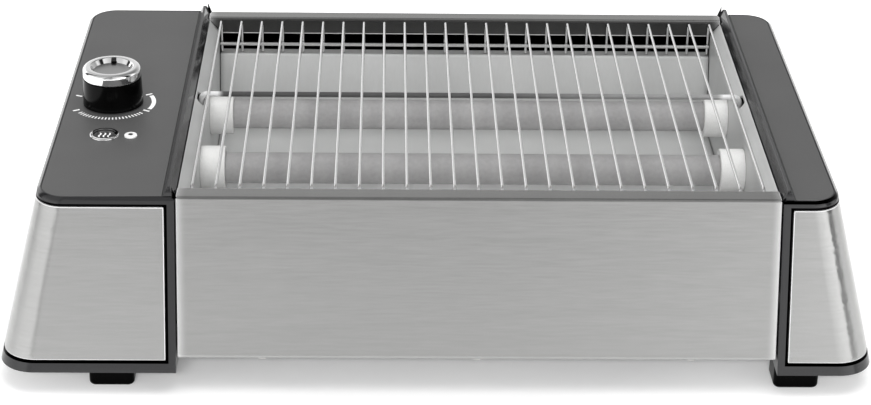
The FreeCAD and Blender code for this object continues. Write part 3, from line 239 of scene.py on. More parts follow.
def soft_lamp(name, place, target, width, depth, watts):
    """A large flat lamp that faces a point and isn't itself in the picture."""
    data = bpy.data.lights.new(name, "AREA")
    data.shape = "RECTANGLE"
    data.size = width
    data.size_y = depth
    data.energy = watts
    lamp = bpy.data.objects.new(name, data)
    bpy.context.scene.collection.objects.link(lamp)
    lamp.location = place
    aim = Vector(target) - Vector(place)
    lamp.rotation_euler = aim.to_track_quat("-Z", "Y").to_euler()
    lamp.visible_camera = False
    lamp.visible_glossy = False


for name, setting in LAMPS.items():
    soft_lamp(name, *setting)

# %% [markdown]
# ## Brushed steel
#
# The two end covers and the body panels are stainless sheet, ground along its
# length. The grain is thousands of fine level scratches, so the pattern is a noise
# that is stretched far along the sheet and squeezed across it. It changes the
# roughness, the height and, a little, the colour.

# %% Helpers for a grain
# Nearly all of a noise lies between these two values.
NOISE_LOW, NOISE_HIGH = 0.3, 0.7


def stretched_noise(tree, scale, detail):
    """A noise on the object's own coordinates, squeezed by scale along each axis."""
    coords = tree.nodes.new("ShaderNodeTexCoord")
    mapping = tree.nodes.new("ShaderNodeMapping")
    mapping.inputs["Scale"].default_value = scale
    link(tree, coords.outputs["Object"], mapping.inputs["Vector"])
    noise = tree.nodes.new("ShaderNodeTexNoise")
    noise.inputs["Scale"].default_value = 1.0
    noise.inputs["Detail"].default_value = detail
    link(tree, mapping.outputs["Vector"], noise.inputs["Vector"])
    return noise.outputs["Fac"]


def spread(tree, value, low, high):
    """Stretch a noise over a range from low to high."""
    node = tree.nodes.new("ShaderNodeMapRange")
    node.inputs["From Min"].default_value = NOISE_LOW
    node.inputs["From Max"].default_value = NOISE_HIGH
    node.inputs["To Min"].default_value = low
    node.inputs["To Max"].default_value = high
    link(tree, value, node.inputs["Value"])
    return node.outputs["Result"]


def tint(tree, value, dark, light):
    """A colour between two by a value from 0 to 1."""
    ramp = tree.nodes.new("ShaderNodeValToRGB")
    ramp.color_ramp.elements[0].color = (*dark, 1)
    ramp.color_ramp.elements[1].color = (*light, 1)
    link(tree, value, ramp.inputs["Fac"])
    return ramp.outputs["Color"]


def blended(tree, fine, broad, fine_share):
    """Two noises added: the first with its share, the second with the rest."""
    return math_node(tree, "ADD", math_node(tree, "MULTIPLY", fine, fine_share),
                     math_node(tree, "MULTIPLY", broad, 1 - fine_share))


def grained_colour(tree, value, colour, contrast):
    """A colour that a noise makes darker and lighter by a share of itself."""
    dark = [part * (1 - contrast) for part in colour]
    light = [min(1, part * (1 + contrast)) for part in colour]
    return tint(tree, spread(tree, value, 0.0, 1.0), dark, light)


def grained_roughness(tree, shader, value, rough, swing):
    """Let a noise change the roughness by a share of itself."""
    changing = spread(tree, value, rough * (1 - swing), rough * (1 + swing))
    link(tree, changing, shader.inputs["Roughness"])


def relief(tree, shader, value, depth):
    """Raise and lower the surface by a value, depth metres in all."""
    bump = tree.nodes.new("ShaderNodeBump")
    bump.inputs["Distance"].default_value = depth
    link(tree, value, bump.inputs["Height"])
    link(tree, bump.outputs["Normal"], shader.inputs["Normal"])


# %% Helpers for mixing colours
def multiplied(tree, colour, shade):
    """One colour times another."""
    mix = tree.nodes.new("ShaderNodeMix")
    mix.data_type = "RGBA"
    mix.blend_type = "MULTIPLY"
    mix.inputs["Factor"].default_value = 1.0
    link(tree, colour, mix.inputs[6])
    link(tree, shade, mix.inputs[7])
    return mix.outputs[2]


def towards(tree, colour, share, grey):
    """A colour that goes over to a grey as a share rises from 0 to 1."""
    mix = tree.nodes.new("ShaderNodeMix")
    mix.data_type = "RGBA"
    link(tree, share, mix.inputs["Factor"])
    link(tree, colour, mix.inputs[6])
    mix.inputs[7].default_value = (grey, grey, grey, 1)
    return mix.outputs[2]


# %% Paint shade in creases and find broken edges
# Painted shade: the share of a colour that is left in a crease, by how open the surface is
# there.
CREASE_PAINTED_SHADE = [(0.25, 0.15), (0.75, 1.0)]
CREASE_SAMPLES = 8
EDGE_MARK = "broken_edge"


def painted_crease_shade(tree, colour, reach):
    """Paint shade into a colour where other surfaces lie within reach."""
    near = tree.nodes.new("ShaderNodeAmbientOcclusion")
    near.samples = CREASE_SAMPLES
    near.inputs["Distance"].default_value = reach
    return multiplied(tree, colour, grey_ramp(tree, near.outputs["AO"], CREASE_PAINTED_SHADE))


def broken_edge(tree):
    """1 on the marked edges of a softened piece, 0 elsewhere."""
    mark = tree.nodes.new("ShaderNodeAttribute")
    mark.attribute_name = EDGE_MARK
    return mark.outputs["Fac"]


# %% [markdown]
# A body panel is ground on its outer face only. Its lip and foot get painted shade,
# and the sides that face into the dark toaster are painted nearly black as shade, so the
# colour asks where on the folded sheet a point lies.

# %% Find the panel's sides
# The panel's top, half the body's depth there, and how far the face leans out for each
# millimetre down.
PANEL_TOP, PANEL_HALF, PANEL_LEAN = 85.5 * MM, 109.0 * MM, 18.5 / 70.5
# How far inside the face a point still counts as on it, how deep the rim's band is, how
# far in from the panel's line the lip starts, and how far down the low part does.
FACE_SLACK, RIM_DEPTH, LIP_INSET, LOW_FALL = 0.5 * MM, 0.6 * MM, 8.0 * MM, 27.0 * MM
# Painted shade: the colour's share on the inner sides, on the lip and low down.
INNER_SHADE_SHARE, LIP_SHADE_SHARE, LOW_SHARE = 0.03, 0.28, 0.7


def painted_panel_shade(tree):
    """The colour's share under painted shade: full on the ground face and the rim, less on
    other sides.
    """
    coords = tree.nodes.new("ShaderNodeTexCoord")
    place = tree.nodes.new("ShaderNodeSeparateXYZ")
    link(tree, coords.outputs["Object"], place.inputs[0])
    depth = math_node(tree, "ABSOLUTE", place.outputs["Y"], 0.0)
    fall = math_node(tree, "SUBTRACT", PANEL_TOP, place.outputs["Z"])
    face = math_node(tree, "ADD", math_node(tree, "MULTIPLY", fall, PANEL_LEAN), PANEL_HALF)
    outside = math_node(tree, "SUBTRACT", depth, face)
    out = math_node(tree, "GREATER_THAN", outside, -FACE_SLACK)
    rim = math_node(tree, "LESS_THAN", fall, RIM_DEPTH)
    full = math_node(tree, "MAXIMUM", out, rim)
    lip = math_node(tree, "LESS_THAN", depth, PANEL_HALF - LIP_INSET)
    some = math_node(tree, "MULTIPLY", lip, LIP_SHADE_SHARE)
    low = math_node(tree, "GREATER_THAN", fall, LOW_FALL)
    some = math_node(tree, "MAXIMUM", some, math_node(tree, "MULTIPLY", low, LOW_SHARE))
    return math_node(tree, "MAXIMUM", math_node(tree, "MAXIMUM", full, some), INNER_SHADE_SHARE)


# %% [markdown]
# A brush leaves long scratches, so a highlight is stretched across them. The shader
# does this by itself when it is told how strongly, and which way lies across.

# %% Build a metal
# Crossed with the surface's own direction, this gives a level one. No sheet faces it.
FACED_BY_NONE = (0, 0.35, 1)
FINE_SHARE, BROAD_SCALE, SHEET_ROUGH_SWING = 0.65, 0.12, 0.08
# How much less metallic a broken edge is, so that its painted highlight stays pale in any
# room.
EDGE_METAL_LOSS = 0.7


def upright_tangent(tree):
    """The direction straight up along the surface, across a level brush grain."""
    surface = tree.nodes.new("ShaderNodeNewGeometry")
    level_way = tree.nodes.new("ShaderNodeVectorMath")
    level_way.operation = "CROSS_PRODUCT"
    level_way.inputs[0].default_value = FACED_BY_NONE
    link(tree, surface.outputs["Normal"], level_way.inputs[1])
    climb = tree.nodes.new("ShaderNodeVectorMath")
    climb.operation = "CROSS_PRODUCT"
    link(tree, surface.outputs["Normal"], climb.inputs[0])
    link(tree, level_way.outputs[0], climb.inputs[1])
    return climb.outputs[0]


def grained_metal(name, colour, contrast, rough, grain, depth, metallic=1.0, brushed=0.0,
                  crease_shade_reach=0.0, shade_inner_sides=False, painted_edge_highlight=0.0):
    """Metal with a grain, given as its changes in a metre along each axis.

    Contrast is the grain's share of the colour, and depth its height in metres.
    """
    material, tree, shader = start_material(name)
    shader.inputs["Metallic"].default_value = metallic
    fine = stretched_noise(tree, grain, 4.0)
    broad = stretched_noise(tree, [value * BROAD_SCALE for value in grain], 2.0)
    mixed = blended(tree, fine, broad, FINE_SHARE)
    paint = grained_colour(tree, mixed, colour, contrast)
    # Painted shade on the sides that face into the toaster.
    if shade_inner_sides:
        paint = multiplied(tree, paint, painted_panel_shade(tree))
    if painted_edge_highlight:
        # A painted highlight: the broken edge goes over to a pale grey.
        edge = broken_edge(tree)
        paint = towards(tree, paint, edge, painted_edge_highlight)
        loss = math_node(tree, "MULTIPLY", edge, EDGE_METAL_LOSS)
        link(tree, math_node(tree, "SUBTRACT", metallic, loss), shader.inputs["Metallic"])
    # Painted shade where other surfaces lie near.
    if crease_shade_reach:
        paint = painted_crease_shade(tree, paint, crease_shade_reach)
    link(tree, paint, shader.inputs["Base Color"])
    grained_roughness(tree, shader, fine, rough, SHEET_ROUGH_SWING)
    if brushed:
        shader.inputs["Anisotropic"].default_value = brushed
        link(tree, upright_tangent(tree), shader.inputs["Tangent"])
    relief(tree, shader, fine, depth)
    return material


# %% Make the sheets
LEVEL_GRAIN = (75, 75, 1400)
brushed = grained_metal(
    "brushed_steel_sheet", colour=(0.40, 0.40, 0.395), contrast=0.05, rough=0.24,
    grain=LEVEL_GRAIN, depth=0.001 * MM, brushed=0.75, painted_edge_highlight=0.85)
panel_steel = grained_metal(
    "brushed_panel_sheet", colour=(0.37, 0.37, 0.365), contrast=0.065, rough=0.24,
    grain=LEVEL_GRAIN, depth=0.001 * MM, brushed=0.75, shade_inner_sides=True, painted_edge_highlight=0.80)
# The bright sheet gets painted shade in its creases.
bright = grained_metal(
    "bright_aluminised_sheet", colour=(0.60, 0.605, 0.60), contrast=0.03, rough=0.42,
    grain=(900, 900, 140), depth=0.0005 * MM, metallic=0.35, crease_shade_reach=6 * MM)
tray_sheet = grained_metal(
    "bright_tray_sheet", colour=(0.86, 0.86, 0.86), contrast=0.08, rough=0.36,
    grain=(60, 30, 60), depth=0.0005 * MM, metallic=0.35)
zinc = grained_metal(
    "zinc_coated_sheet", colour=(0.50, 0.50, 0.50), contrast=0.10, rough=0.45,
    grain=(400, 400, 400), depth=0.02 * MM)
print("sheet metals", brushed.name, panel_steel.name, bright.name, tray_sheet.name, zinc.name)

# %% [markdown]
# ## Wire, chrome and plain metal
#
# The rack wires and the knob's ring are chromed: nearly white and very smooth. The
# knob's disc is turned satin metal, and the small fittings are plain drawn metal with
# a short random grain. The cross rod is duller than the wires, so it mirrors less.

# %% Make the chrome and the plain metal
chrome = grained_metal(
    "chromed_wire", colour=(0.86, 0.86, 0.86), contrast=0.03, rough=0.16,
    grain=(700, 700, 700), depth=0.005 * MM)
ring_chrome = grained_metal(
    "knob_ring_chrome", colour=(0.90, 0.90, 0.90), contrast=0.02, rough=0.06,
    grain=(200, 200, 200), depth=0.001 * MM)
satin = grained_metal(
    "satin_knob_disc", colour=(0.42, 0.42, 0.42), contrast=0.06, rough=0.32,
    grain=(900, 60, 60), depth=0.005 * MM)
plain = grained_metal(
    "drawn_metal", colour=(0.55, 0.55, 0.53), contrast=0.08, rough=0.38,
    grain=(500, 500, 500), depth=0.01 * MM)
rod_metal = grained_metal(
    "cross_rod_metal", colour=(0.86, 0.86, 0.86), contrast=0.05, rough=0.30,
    grain=(700, 700, 700), depth=0.005 * MM, metallic=0.45)
print("other metals", chrome.name, ring_chrome.name, satin.name, plain.name, rod_metal.name)

# %% [markdown]
# ## Moulded plastic, rubber and ceramic
#
# Moulded parts take the texture of their mould. The decks are matt with a fine,
# even grain. The ends round them are glossy, and the feet are smooth rubber. Where
# they meet their neighbours, painted shade makes a marked edge black, standing for the
# shadow in the gap. It is metallic too, because a black metal mirrors nearly nothing.

# %% Build a moulded surface
SPECK_SHARE, CLOUD_GRAIN = 0.6, 30
MOULD_CONTRAST, MOULD_ROUGH_SWING = 0.1, 0.12


def moulded(name, colour, rough, grain, depth, sheen=0.5, painted_seam_shade=False):
    """A moulded surface: its grain is a fine noise in height and roughness."""
    material, tree, shader = start_material(name)
    shader.inputs["Specular IOR Level"].default_value = sheen
    speck = stretched_noise(tree, (grain, grain, grain), 3.0)
    cloud = stretched_noise(tree, (CLOUD_GRAIN, CLOUD_GRAIN, CLOUD_GRAIN), 2.0)
    mixed = blended(tree, speck, cloud, SPECK_SHARE)
    paint = grained_colour(tree, mixed, colour, MOULD_CONTRAST)
    if painted_seam_shade:
        # Painted shade: the gap's shadow is painted black on the marked edge.
        edge = broken_edge(tree)
        paint = towards(tree, paint, edge, 0.0)
        link(tree, edge, shader.inputs["Metallic"])
    link(tree, paint, shader.inputs["Base Color"])
    grained_roughness(tree, shader, speck, rough, MOULD_ROUGH_SWING)
    relief(tree, shader, speck, depth)
    return material


# %% Make the plastics
deck_plastic = moulded("matt_deck_plastic", colour=(0.074, 0.074, 0.074), rough=0.50,
                       grain=2500, depth=0.03 * MM, painted_seam_shade=True)
end_plastic = moulded("moulded_end_plastic", colour=(0.017, 0.017, 0.018), rough=0.14,
                      grain=1500, depth=0.002 * MM, painted_seam_shade=True)
base_plastic = moulded("plain_base_plastic", colour=(0.02, 0.02, 0.02), rough=0.55,
                       grain=1800, depth=0.04 * MM)
knob_plastic = moulded("knob_plastic", colour=(0.001, 0.001, 0.001), rough=0.14,
                       grain=1200, depth=0.003 * MM, sheen=0.10)
button_plastic = moulded("button_plastic", colour=(0.03, 0.03, 0.03), rough=0.35,
                         grain=1500, depth=0.01 * MM)
lens_plastic = moulded("lens_plastic", colour=(0.80, 0.80, 0.80), rough=0.25,
                       grain=900, depth=0.01 * MM)
block_plastic = moulded("terminal_plastic", colour=(0.8, 0.8, 0.78), rough=0.45,
                        grain=1500, depth=0.02 * MM)
gland_plastic = moulded("gland_plastic", colour=(0.012, 0.012, 0.012), rough=0.5,
                        grain=1500, depth=0.03 * MM)
white_print = moulded("white_print", colour=(0.92, 0.92, 0.92), rough=0.50,
                      grain=1500, depth=0.005 * MM)
print("moulded ends", end_plastic.name, "and decks", deck_plastic.name)

# %% Make the rubber, ceramic and quartz
foot_rubber = moulded("foot_rubber", colour=(0.001, 0.001, 0.001), rough=0.20,
                      grain=1200, depth=0.005 * MM, sheen=0.03)
ceramic = moulded("unglazed_ceramic", colour=(0.70, 0.70, 0.69), rough=0.55,
                  grain=2200, depth=0.04 * MM)
quartz = moulded("milky_quartz", colour=(0.40, 0.395, 0.395), rough=0.40,
                 grain=500, depth=0.003 * MM)
print("others", foot_rubber.name, ceramic.name, quartz.name)

# %% [markdown]
# ## Paint that changes with the place
#
# A few pieces aren't one even colour. The quartz tubes carry painted shade on top and
# are cloudy along their length, the reflectors are a little stained, the cross rod has a
# painted dark reflection between its ends, the lamp's lens has a dark dot in its middle,
# and the panels get a painted highlight at their ends and at their foot. A ramp over a
# place or a noise changes the finished colour there, so the grain stays.

# %% Helpers for a changing colour
def colour_input(material):
    """A finished material's colour input, and what feeds it."""
    socket = material.node_tree.nodes["Principled BSDF"].inputs["Base Color"]
    return socket, socket.links[0].from_socket


def painted_by(material, value, stops):
    """Multiply a finished material's colour by a grey ramp over a value."""
    tree = material.node_tree
    socket, colour = colour_input(material)
    link(tree, multiplied(tree, colour, grey_ramp(tree, value, stops)), socket)


def lightened_by(material, value, stops, grey):
    """Take a finished material's colour towards a grey by a ramp over a value."""
    tree = material.node_tree
    socket, colour = colour_input(material)
    link(tree, towards(tree, colour, grey_ramp(tree, value, stops), grey), socket)


def place_on(material, axis, low, high):
    """How far a point is from low to high along an axis, from 0 to 1."""
    tree = material.node_tree
    coords = tree.nodes.new("ShaderNodeTexCoord")
    parts = tree.nodes.new("ShaderNodeSeparateXYZ")
    link(tree, coords.outputs["Object"], parts.inputs[0])
    node = tree.nodes.new("ShaderNodeMapRange")
    node.inputs["From Min"].default_value = low
    node.inputs["From Max"].default_value = high
    link(tree, parts.outputs[axis], node.inputs["Value"])
    return node.outputs["Result"]


# %% Stain the reflectors, paint shade on the tubes and cloud the tubes
STAIN_GRAIN, STAINS = (26, 26, 12), [(NOISE_LOW, 0.88), (NOISE_HIGH, 1.0)]
CLOUD_BANDS, CLOUDS = (110, 8, 8), [(NOISE_LOW, 0.86), (NOISE_HIGH, 1.0)]
# Painted shade, darker up the tube, from its lowest line at 0 to its highest at 1.
PAINTED_TUBE_SHADE = [(0.0, 1.0), (0.35, 0.95), (0.8, 0.80), (1.0, 0.70)]
painted_by(bright, stretched_noise(bright.node_tree, STAIN_GRAIN, 2.0), STAINS)
tube_low, tube_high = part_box("front_quartz_tube")
painted_by(quartz, place_on(quartz, "Z", tube_low[2], tube_high[2]), PAINTED_TUBE_SHADE)
painted_by(quartz, stretched_noise(quartz.node_tree, CLOUD_BANDS, 1.0), CLOUDS)
print("tubes from", round(tube_low[2], 4), "to", round(tube_high[2], 4), "m high")

# %% Paint a dark reflection on the middle of the cross rod
# A painted dark reflection along the rod, from its left end at 0 to its right end at 1.
ROD_DARK_REFLECTION = [(0.0, 1.0), (0.035, 1.0), (0.045, 0.10), (0.55, 0.12), (0.80, 0.35),
             (0.955, 0.40), (0.965, 1.0)]
rod_low, rod_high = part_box("rack_cross_rod")
painted_by(rod_metal, place_on(rod_metal, "X", rod_low[0], rod_high[0]), ROD_DARK_REFLECTION)
print("cross rod", round(rod_high[0] - rod_low[0], 4), "m long")


# %% Put a dark dot in the lamp's lens
def distance_on(material, centre):
    """How far a point lies from an upright axis, in millimetres."""
    tree = material.node_tree
    coords = tree.nodes.new("ShaderNodeTexCoord")
    flat = tree.nodes.new("ShaderNodeMapping")
    flat.inputs["Location"].default_value = (-centre[0] / MM, -centre[1] / MM, 0)
    flat.inputs["Scale"].default_value = (1 / MM, 1 / MM, 0)
    link(tree, coords.outputs["Object"], flat.inputs["Vector"])
    length = tree.nodes.new("ShaderNodeVectorMath")
    length.operation = "LENGTH"
    link(tree, flat.outputs["Vector"], length.inputs[0])
    return length.outputs["Value"]


# The dot's shade at a distance from the middle, as a share of the ramp's reach of 10 mm.
DOT_SHADE, PER_REACH = [(0.09, 0.03), (0.14, 1.0)], 0.1
lens_low, lens_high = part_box("pilot_lens")
lens_middle = ((lens_low[0] + lens_high[0]) / 2, (lens_low[1] + lens_high[1]) / 2)
from_middle = distance_on(lens_plastic, lens_middle)
from_middle = math_node(lens_plastic.node_tree, "MULTIPLY", from_middle, PER_REACH)
painted_by(lens_plastic, from_middle, DOT_SHADE)
print("lens", round(lens_high[0] - lens_low[0], 4), "m wide")

# %% Paint highlights on the ends and the foot of the panels
# Painted highlights along the panels' folded ends and foot.
HIGHLIGHT_GREY, FOOT_BAND = 0.80, 10 * MM
END_PAINTED_HIGHLIGHT = [(0.0, 0.75), (0.004, 0.45), (0.010, 0.12), (0.016, 0.0), (0.984, 0.0),
             (0.990, 0.12), (0.996, 0.45), (1.0, 0.75)]
FOOT_PAINTED_HIGHLIGHT = [(0.0, 0.45), (0.11, 0.30), (0.17, 0.0)]
panel_low, panel_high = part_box("front_panel")
lightened_by(panel_steel, place_on(panel_steel, "X", panel_low[0], panel_high[0]),
             END_PAINTED_HIGHLIGHT, HIGHLIGHT_GREY)
lightened_by(panel_steel, place_on(panel_steel, "Z", panel_low[2], panel_low[2] + FOOT_BAND),
             FOOT_PAINTED_HIGHLIGHT, HIGHLIGHT_GREY)
print("panel", round(panel_high[0] - panel_low[0], 4), "m long")

# %% [markdown]
# ## Give every node its finish
#
# Each piece of the measured model keeps its shape. Only its material slots change.

# %% Assign the materials
FINISH = {
    "moulded_end": end_plastic, "deck_plate": deck_plastic, "base_plastic": base_plastic,
    "brushed_sheet": brushed, "bright_sheet": bright, "plain_sheet": zinc,
    "plain_metal": plain, "rack_wire": chrome, "milky_quartz": quartz,
    "white_ceramic": ceramic, "heating_wire": plain, "knob_black": knob_plastic,
    "knob_chrome": ring_chrome, "knob_grey": satin, "button_black": button_plastic,
    "lens_white": lens_plastic, "lamp_glass": lens_plastic, "foot_rubber": foot_rubber,
    "block_white": block_plastic, "gland_black": gland_plastic,
}
SLOT_OF = {part["node"]: part["material_slot"] for part in frame["record"]["subparts"]}
for name, node in NODES.items():
    finish = FINISH[SLOT_OF[name]]
    if not node.material_slots:
        node.data.materials.append(finish)
    for slot in node.material_slots:
        slot.material = finish
# Four nodes whose finish differs from what the rest of their slot gets.
OWN_FINISH = {"front_panel": panel_steel, "rear_panel": panel_steel,
              "rack_cross_rod": rod_metal, "crumb_tray": tray_sheet}
for name, finish in OWN_FINISH.items():
    for slot in NODES[name].material_slots:
        slot.material = finish
print("finished nodes", len(NODES))

# %% [markdown]
# ## Edges that catch the light
#
# Sheet metal and moulded parts never end in a knife edge. Each cut edge is broken a
# little, and that thin round shows as a bright line along the cover. The measured
# pieces have plain edges there, so the ones that show are copied, their triangles are
# joined into whole faces, and a small bevel rounds every sharp edge inwards. The copy
# then stands for the piece.

# %% Helpers for choosing
def only(thing):
    """Select one object and nothing else."""
    bpy.ops.object.select_all(action="DESELECT")
    thing.select_set(True)
    bpy.context.view_layer.objects.active = thing


def pick_points(thing, chosen):
    """In edit mode, select only the points whose place passes a test."""
    bpy.ops.mesh.select_all(action="DESELECT")
    bpy.ops.object.mode_set(mode="OBJECT")
    for point in thing.data.vertices:
        point.select = chosen(point.co)
    bpy.ops.object.mode_set(mode="EDIT")


# %% Copy a piece with whole faces
SAME_POINT, FLAT = 0.002 * MM, math.radians(0.5)


def whole_copy(source, piece_name, moves):
    """A copy of a measured piece whose triangles are joined into whole faces.

    Moves lift the points that lie in a box.
    """
    piece = bpy.data.objects.new(piece_name, source.data.copy())
    bpy.context.scene.collection.objects.link(piece)
    only(piece)
    bpy.ops.object.mode_set(mode="EDIT")
    bpy.ops.mesh.select_all(action="SELECT")
    bpy.ops.mesh.remove_doubles(threshold=SAME_POINT)
    bpy.ops.mesh.dissolve_limited(angle_limit=FLAT)
    for low, high, lift in moves:
        pick_points(piece, lambda place: all(
            low[i] <= place[i] <= high[i] for i in range(3)))
        bpy.ops.transform.translate(value=(0, 0, lift))
    bpy.ops.object.mode_set(mode="OBJECT")
    return piece


# %% [markdown]
# The end housings are let into by their neighbours, and only the seams along those are
# rounded. A seam is found by distance: both ends of its edge lie near the neighbour.

# %% Find the edges along a seam
SHARP = math.radians(50)
SEAM_REACH = 1.2 * MM


def weigh_seam_edges(piece, seams):
    """Give the sharp edges that lie along another piece that piece's bevel weight."""
    depsgraph = bpy.context.evaluated_depsgraph_get()
    beside = [(BVHTree.FromObject(NODES[name], depsgraph), share) for name, share in seams]
    shape = bmesh.new()
    shape.from_mesh(piece.data)
    weight = shape.edges.layers.float.new("bevel_weight_edge")
    for edge in shape.edges:
        if len(edge.link_faces) != 2 or edge.calc_face_angle() <= SHARP:
            continue
        for neighbour, share in beside:
            if all(neighbour.find_nearest(end.co, SEAM_REACH)[0] for end in edge.verts):
                edge[weight] = share
    shape.to_mesh(piece.data)
    shape.free()


# %% [markdown]
# The bevel gives its new faces a second material slot. That is only a way to find them
# again: they get a mark, which the sheets turn into a painted highlight and the mouldings
# into a seam painted black as shade, and then the second slot goes. The right end's rim
# chamfer next to its deck lies in a shadow groove, so its faces get the mark as well.

# %% Round the edges and mark them
ROUND_STEPS, SMOOTH_BELOW = 2, math.radians(35)
# The right rim's chamfer, which gets painted shadow, by its height and by how
# steeply its faces stand.
PAINTED_SHADOW_RIM = "right_end_housing"
RIM_LOW, RIM_HIGH = 84.2 * MM, 85.6 * MM
RIM_STEEPEST, RIM_FLATTEST = 0.5, 0.9


def round_edges(piece, finish, width, by_weight):
    """Bevel the sharp or the weighted edges; the new faces get the second slot."""
    piece.data.materials.clear()
    piece.data.materials.append(finish)
    piece.data.materials.append(white_print)
    bevel = piece.modifiers.new("broken_edge", "BEVEL")
    bevel.width = width
    bevel.segments = ROUND_STEPS
    bevel.use_clamp_overlap = False
    bevel.limit_method = "WEIGHT" if by_weight else "ANGLE"
    bevel.angle_limit = SHARP
    bevel.material = 1
    bpy.ops.object.modifier_apply(modifier=bevel.name)
    bpy.ops.object.shade_smooth_by_angle(angle=SMOOTH_BELOW)
    even = piece.modifiers.new("even_normals", "WEIGHTED_NORMAL")
    even.keep_sharp = True
    bpy.ops.object.modifier_apply(modifier=even.name)


def mark_edges(piece, node_name):
    """Mark the faces of the second slot and of the rim that gets painted shadow, and drop that
    slot.
    """
    mark = piece.data.attributes.new(EDGE_MARK, "FLOAT", "FACE")
    for face in piece.data.polygons:
        in_rim_shadow = (node_name == PAINTED_SHADOW_RIM and RIM_LOW < face.center.z < RIM_HIGH
                  and RIM_STEEPEST < face.normal.z < RIM_FLATTEST)
        mark.data[face.index].value = float(face.material_index == 1 or in_rim_shadow)
        face.material_index = 0
    piece.data.materials.pop(index=1)


# %% Soften the edges that show
BODY_OF = {node: body for body, nodes in frame["record"]["behaviour"]["bodies"].items()
           for node in nodes}


def softened(node_name, piece_name, width, seams=(), moves=()):
    """A copy of a measured piece with its sharp edges rounded inwards by width.

    With seams, only the edges along one of the named pieces are rounded, each by its
    share of the width.
    """
    source = NODES[node_name]
    piece = whole_copy(source, piece_name, moves)
    if seams:
        weigh_seam_edges(piece, seams)
    round_edges(piece, source.material_slots[0].material, width, bool(seams))
    mark_edges(piece, node_name)
    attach(piece, BODY_OF[node_name])
    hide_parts(node_name)
    return piece


BODY_SEAMS = [("front_panel", 1.0), ("rear_panel", 1.0)]
LEFT_SEAMS = [("left_steel_cover", 0.9), ("left_cavity_wall", 0.6)] + BODY_SEAMS
RIGHT_SEAMS = [("right_steel_cover", 0.9), ("right_cavity_wall", 0.6)] + BODY_SEAMS
# The hem under the rear lip: its two rows of points and how far each one rises.
REAR_LIP = [((-1, 0.1000, 0.0750), (1, 0.1005, 0.0760), 1.5 * MM),
            ((-1, 0.1009, 0.0720), (1, 0.1012, 0.0730), 3.7 * MM)]
# The node, the copy's name, the width in millimetres, the seams and the moves.
SOFTENED = [
    ("left_end_housing", "left_end_moulding", 1.1, LEFT_SEAMS, ()),
    ("right_end_housing", "right_end_moulding", 1.1, RIGHT_SEAMS, ()),
    ("left_steel_cover", "left_cover_sheet", 0.38, (), ()),
    ("right_steel_cover", "right_cover_sheet", 0.38, (), ()),
    ("front_panel", "front_panel_sheet", 0.38, (), ()),
    ("rear_panel", "rear_panel_sheet", 0.38, (), REAR_LIP),
    ("control_deck", "control_deck_plate", 0.50, (), ()),
    ("right_deck", "right_deck_plate", 0.50, (), ()),
]
FEET = ("left_front_foot", "left_rear_foot", "right_front_foot", "right_rear_foot")
SOFTENED += [(foot, foot + "_pad", 0.30, (), ()) for foot in FEET]
SOFTENED.append(("tray_pull", "tray_pull_strip", 0.25, (), ()))
for node_name, piece_name, width, seams, moves in SOFTENED:
    piece = softened(node_name, piece_name, width * MM, seams, moves)
    print(piece_name, len(piece.data.polygons), "faces")

# %% [markdown]
# ## The rear reflector's long foot
#
# Between the tubes the eye meets a bright sheet: the foot of the rear reflector, which
# runs forward over the crumb tray and ends in a low hem that stiffens it. A plane
# gets the foot's size, its front edge is extruded upwards as the hem, and a Solidify
# modifier gives it the sheet's thickness. Then it is joined to the reflector. It needs
# the reflector's finish before that, because a join keeps each part's own.

# %% Make the foot and its hem
FOOT_SHEET, FOOT_REACH, FOOT_HEM, FOOT_OVERLAP = 0.6 * MM, 38 * MM, 1.5 * MM, 1.0 * MM
reflector = softened("rear_reflector", "rear_reflector_sheet", 0.12 * MM)
low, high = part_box("rear_reflector")
foot_front = low[1] + FOOT_OVERLAP - FOOT_REACH
bpy.ops.object.select_all(action="DESELECT")
bpy.ops.mesh.primitive_plane_add(size=1.0, location=(0, 0, 0))
foot = bpy.context.object
foot.data.materials.append(reflector.data.materials[0])
bpy.ops.object.mode_set(mode="EDIT")
bpy.ops.transform.resize(value=(high[0] - low[0], FOOT_REACH, 1))
bpy.ops.transform.translate(value=((low[0] + high[0]) / 2, foot_front + FOOT_REACH / 2,
                                   low[2] + FOOT_SHEET))
pick_points(foot, lambda place: place.y < foot_front + FOOT_OVERLAP)
bpy.ops.mesh.extrude_region_move(TRANSFORM_OT_translate={"value": (0, 0, FOOT_HEM)})
bpy.ops.object.mode_set(mode="OBJECT")
print("foot front at", round(foot_front, 4))

# %% Give the foot its thickness and join it
sheet = foot.modifiers.new("sheet_thickness", "SOLIDIFY")
sheet.thickness = FOOT_SHEET
bpy.ops.object.modifier_apply(modifier=sheet.name)
only(reflector)
foot.select_set(True)
bpy.ops.object.join()
print("rear reflector", len(reflector.data.polygons), "faces")

# %% [markdown]
# ## The printed scale
#
# Round the knob runs a printed scale: fine ticks along the front, longer bars at both
# ends and a thick arc at the right. Each tick is a thin flat strip. One is made and
# its copies are turned about the knob's axis. The arc is spun from a short edge. Then
# all are joined and given the thickness of a printed film.

# %% Helpers for flat strips
DECK_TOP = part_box("control_deck")[1][2]
KNOB_LOW, KNOB_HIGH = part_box("timer_knob")
KNOB_AXIS = Vector(((KNOB_LOW[0] + KNOB_HIGH[0]) / 2, (KNOB_LOW[1] + KNOB_HIGH[1]) / 2,
                    DECK_TOP))


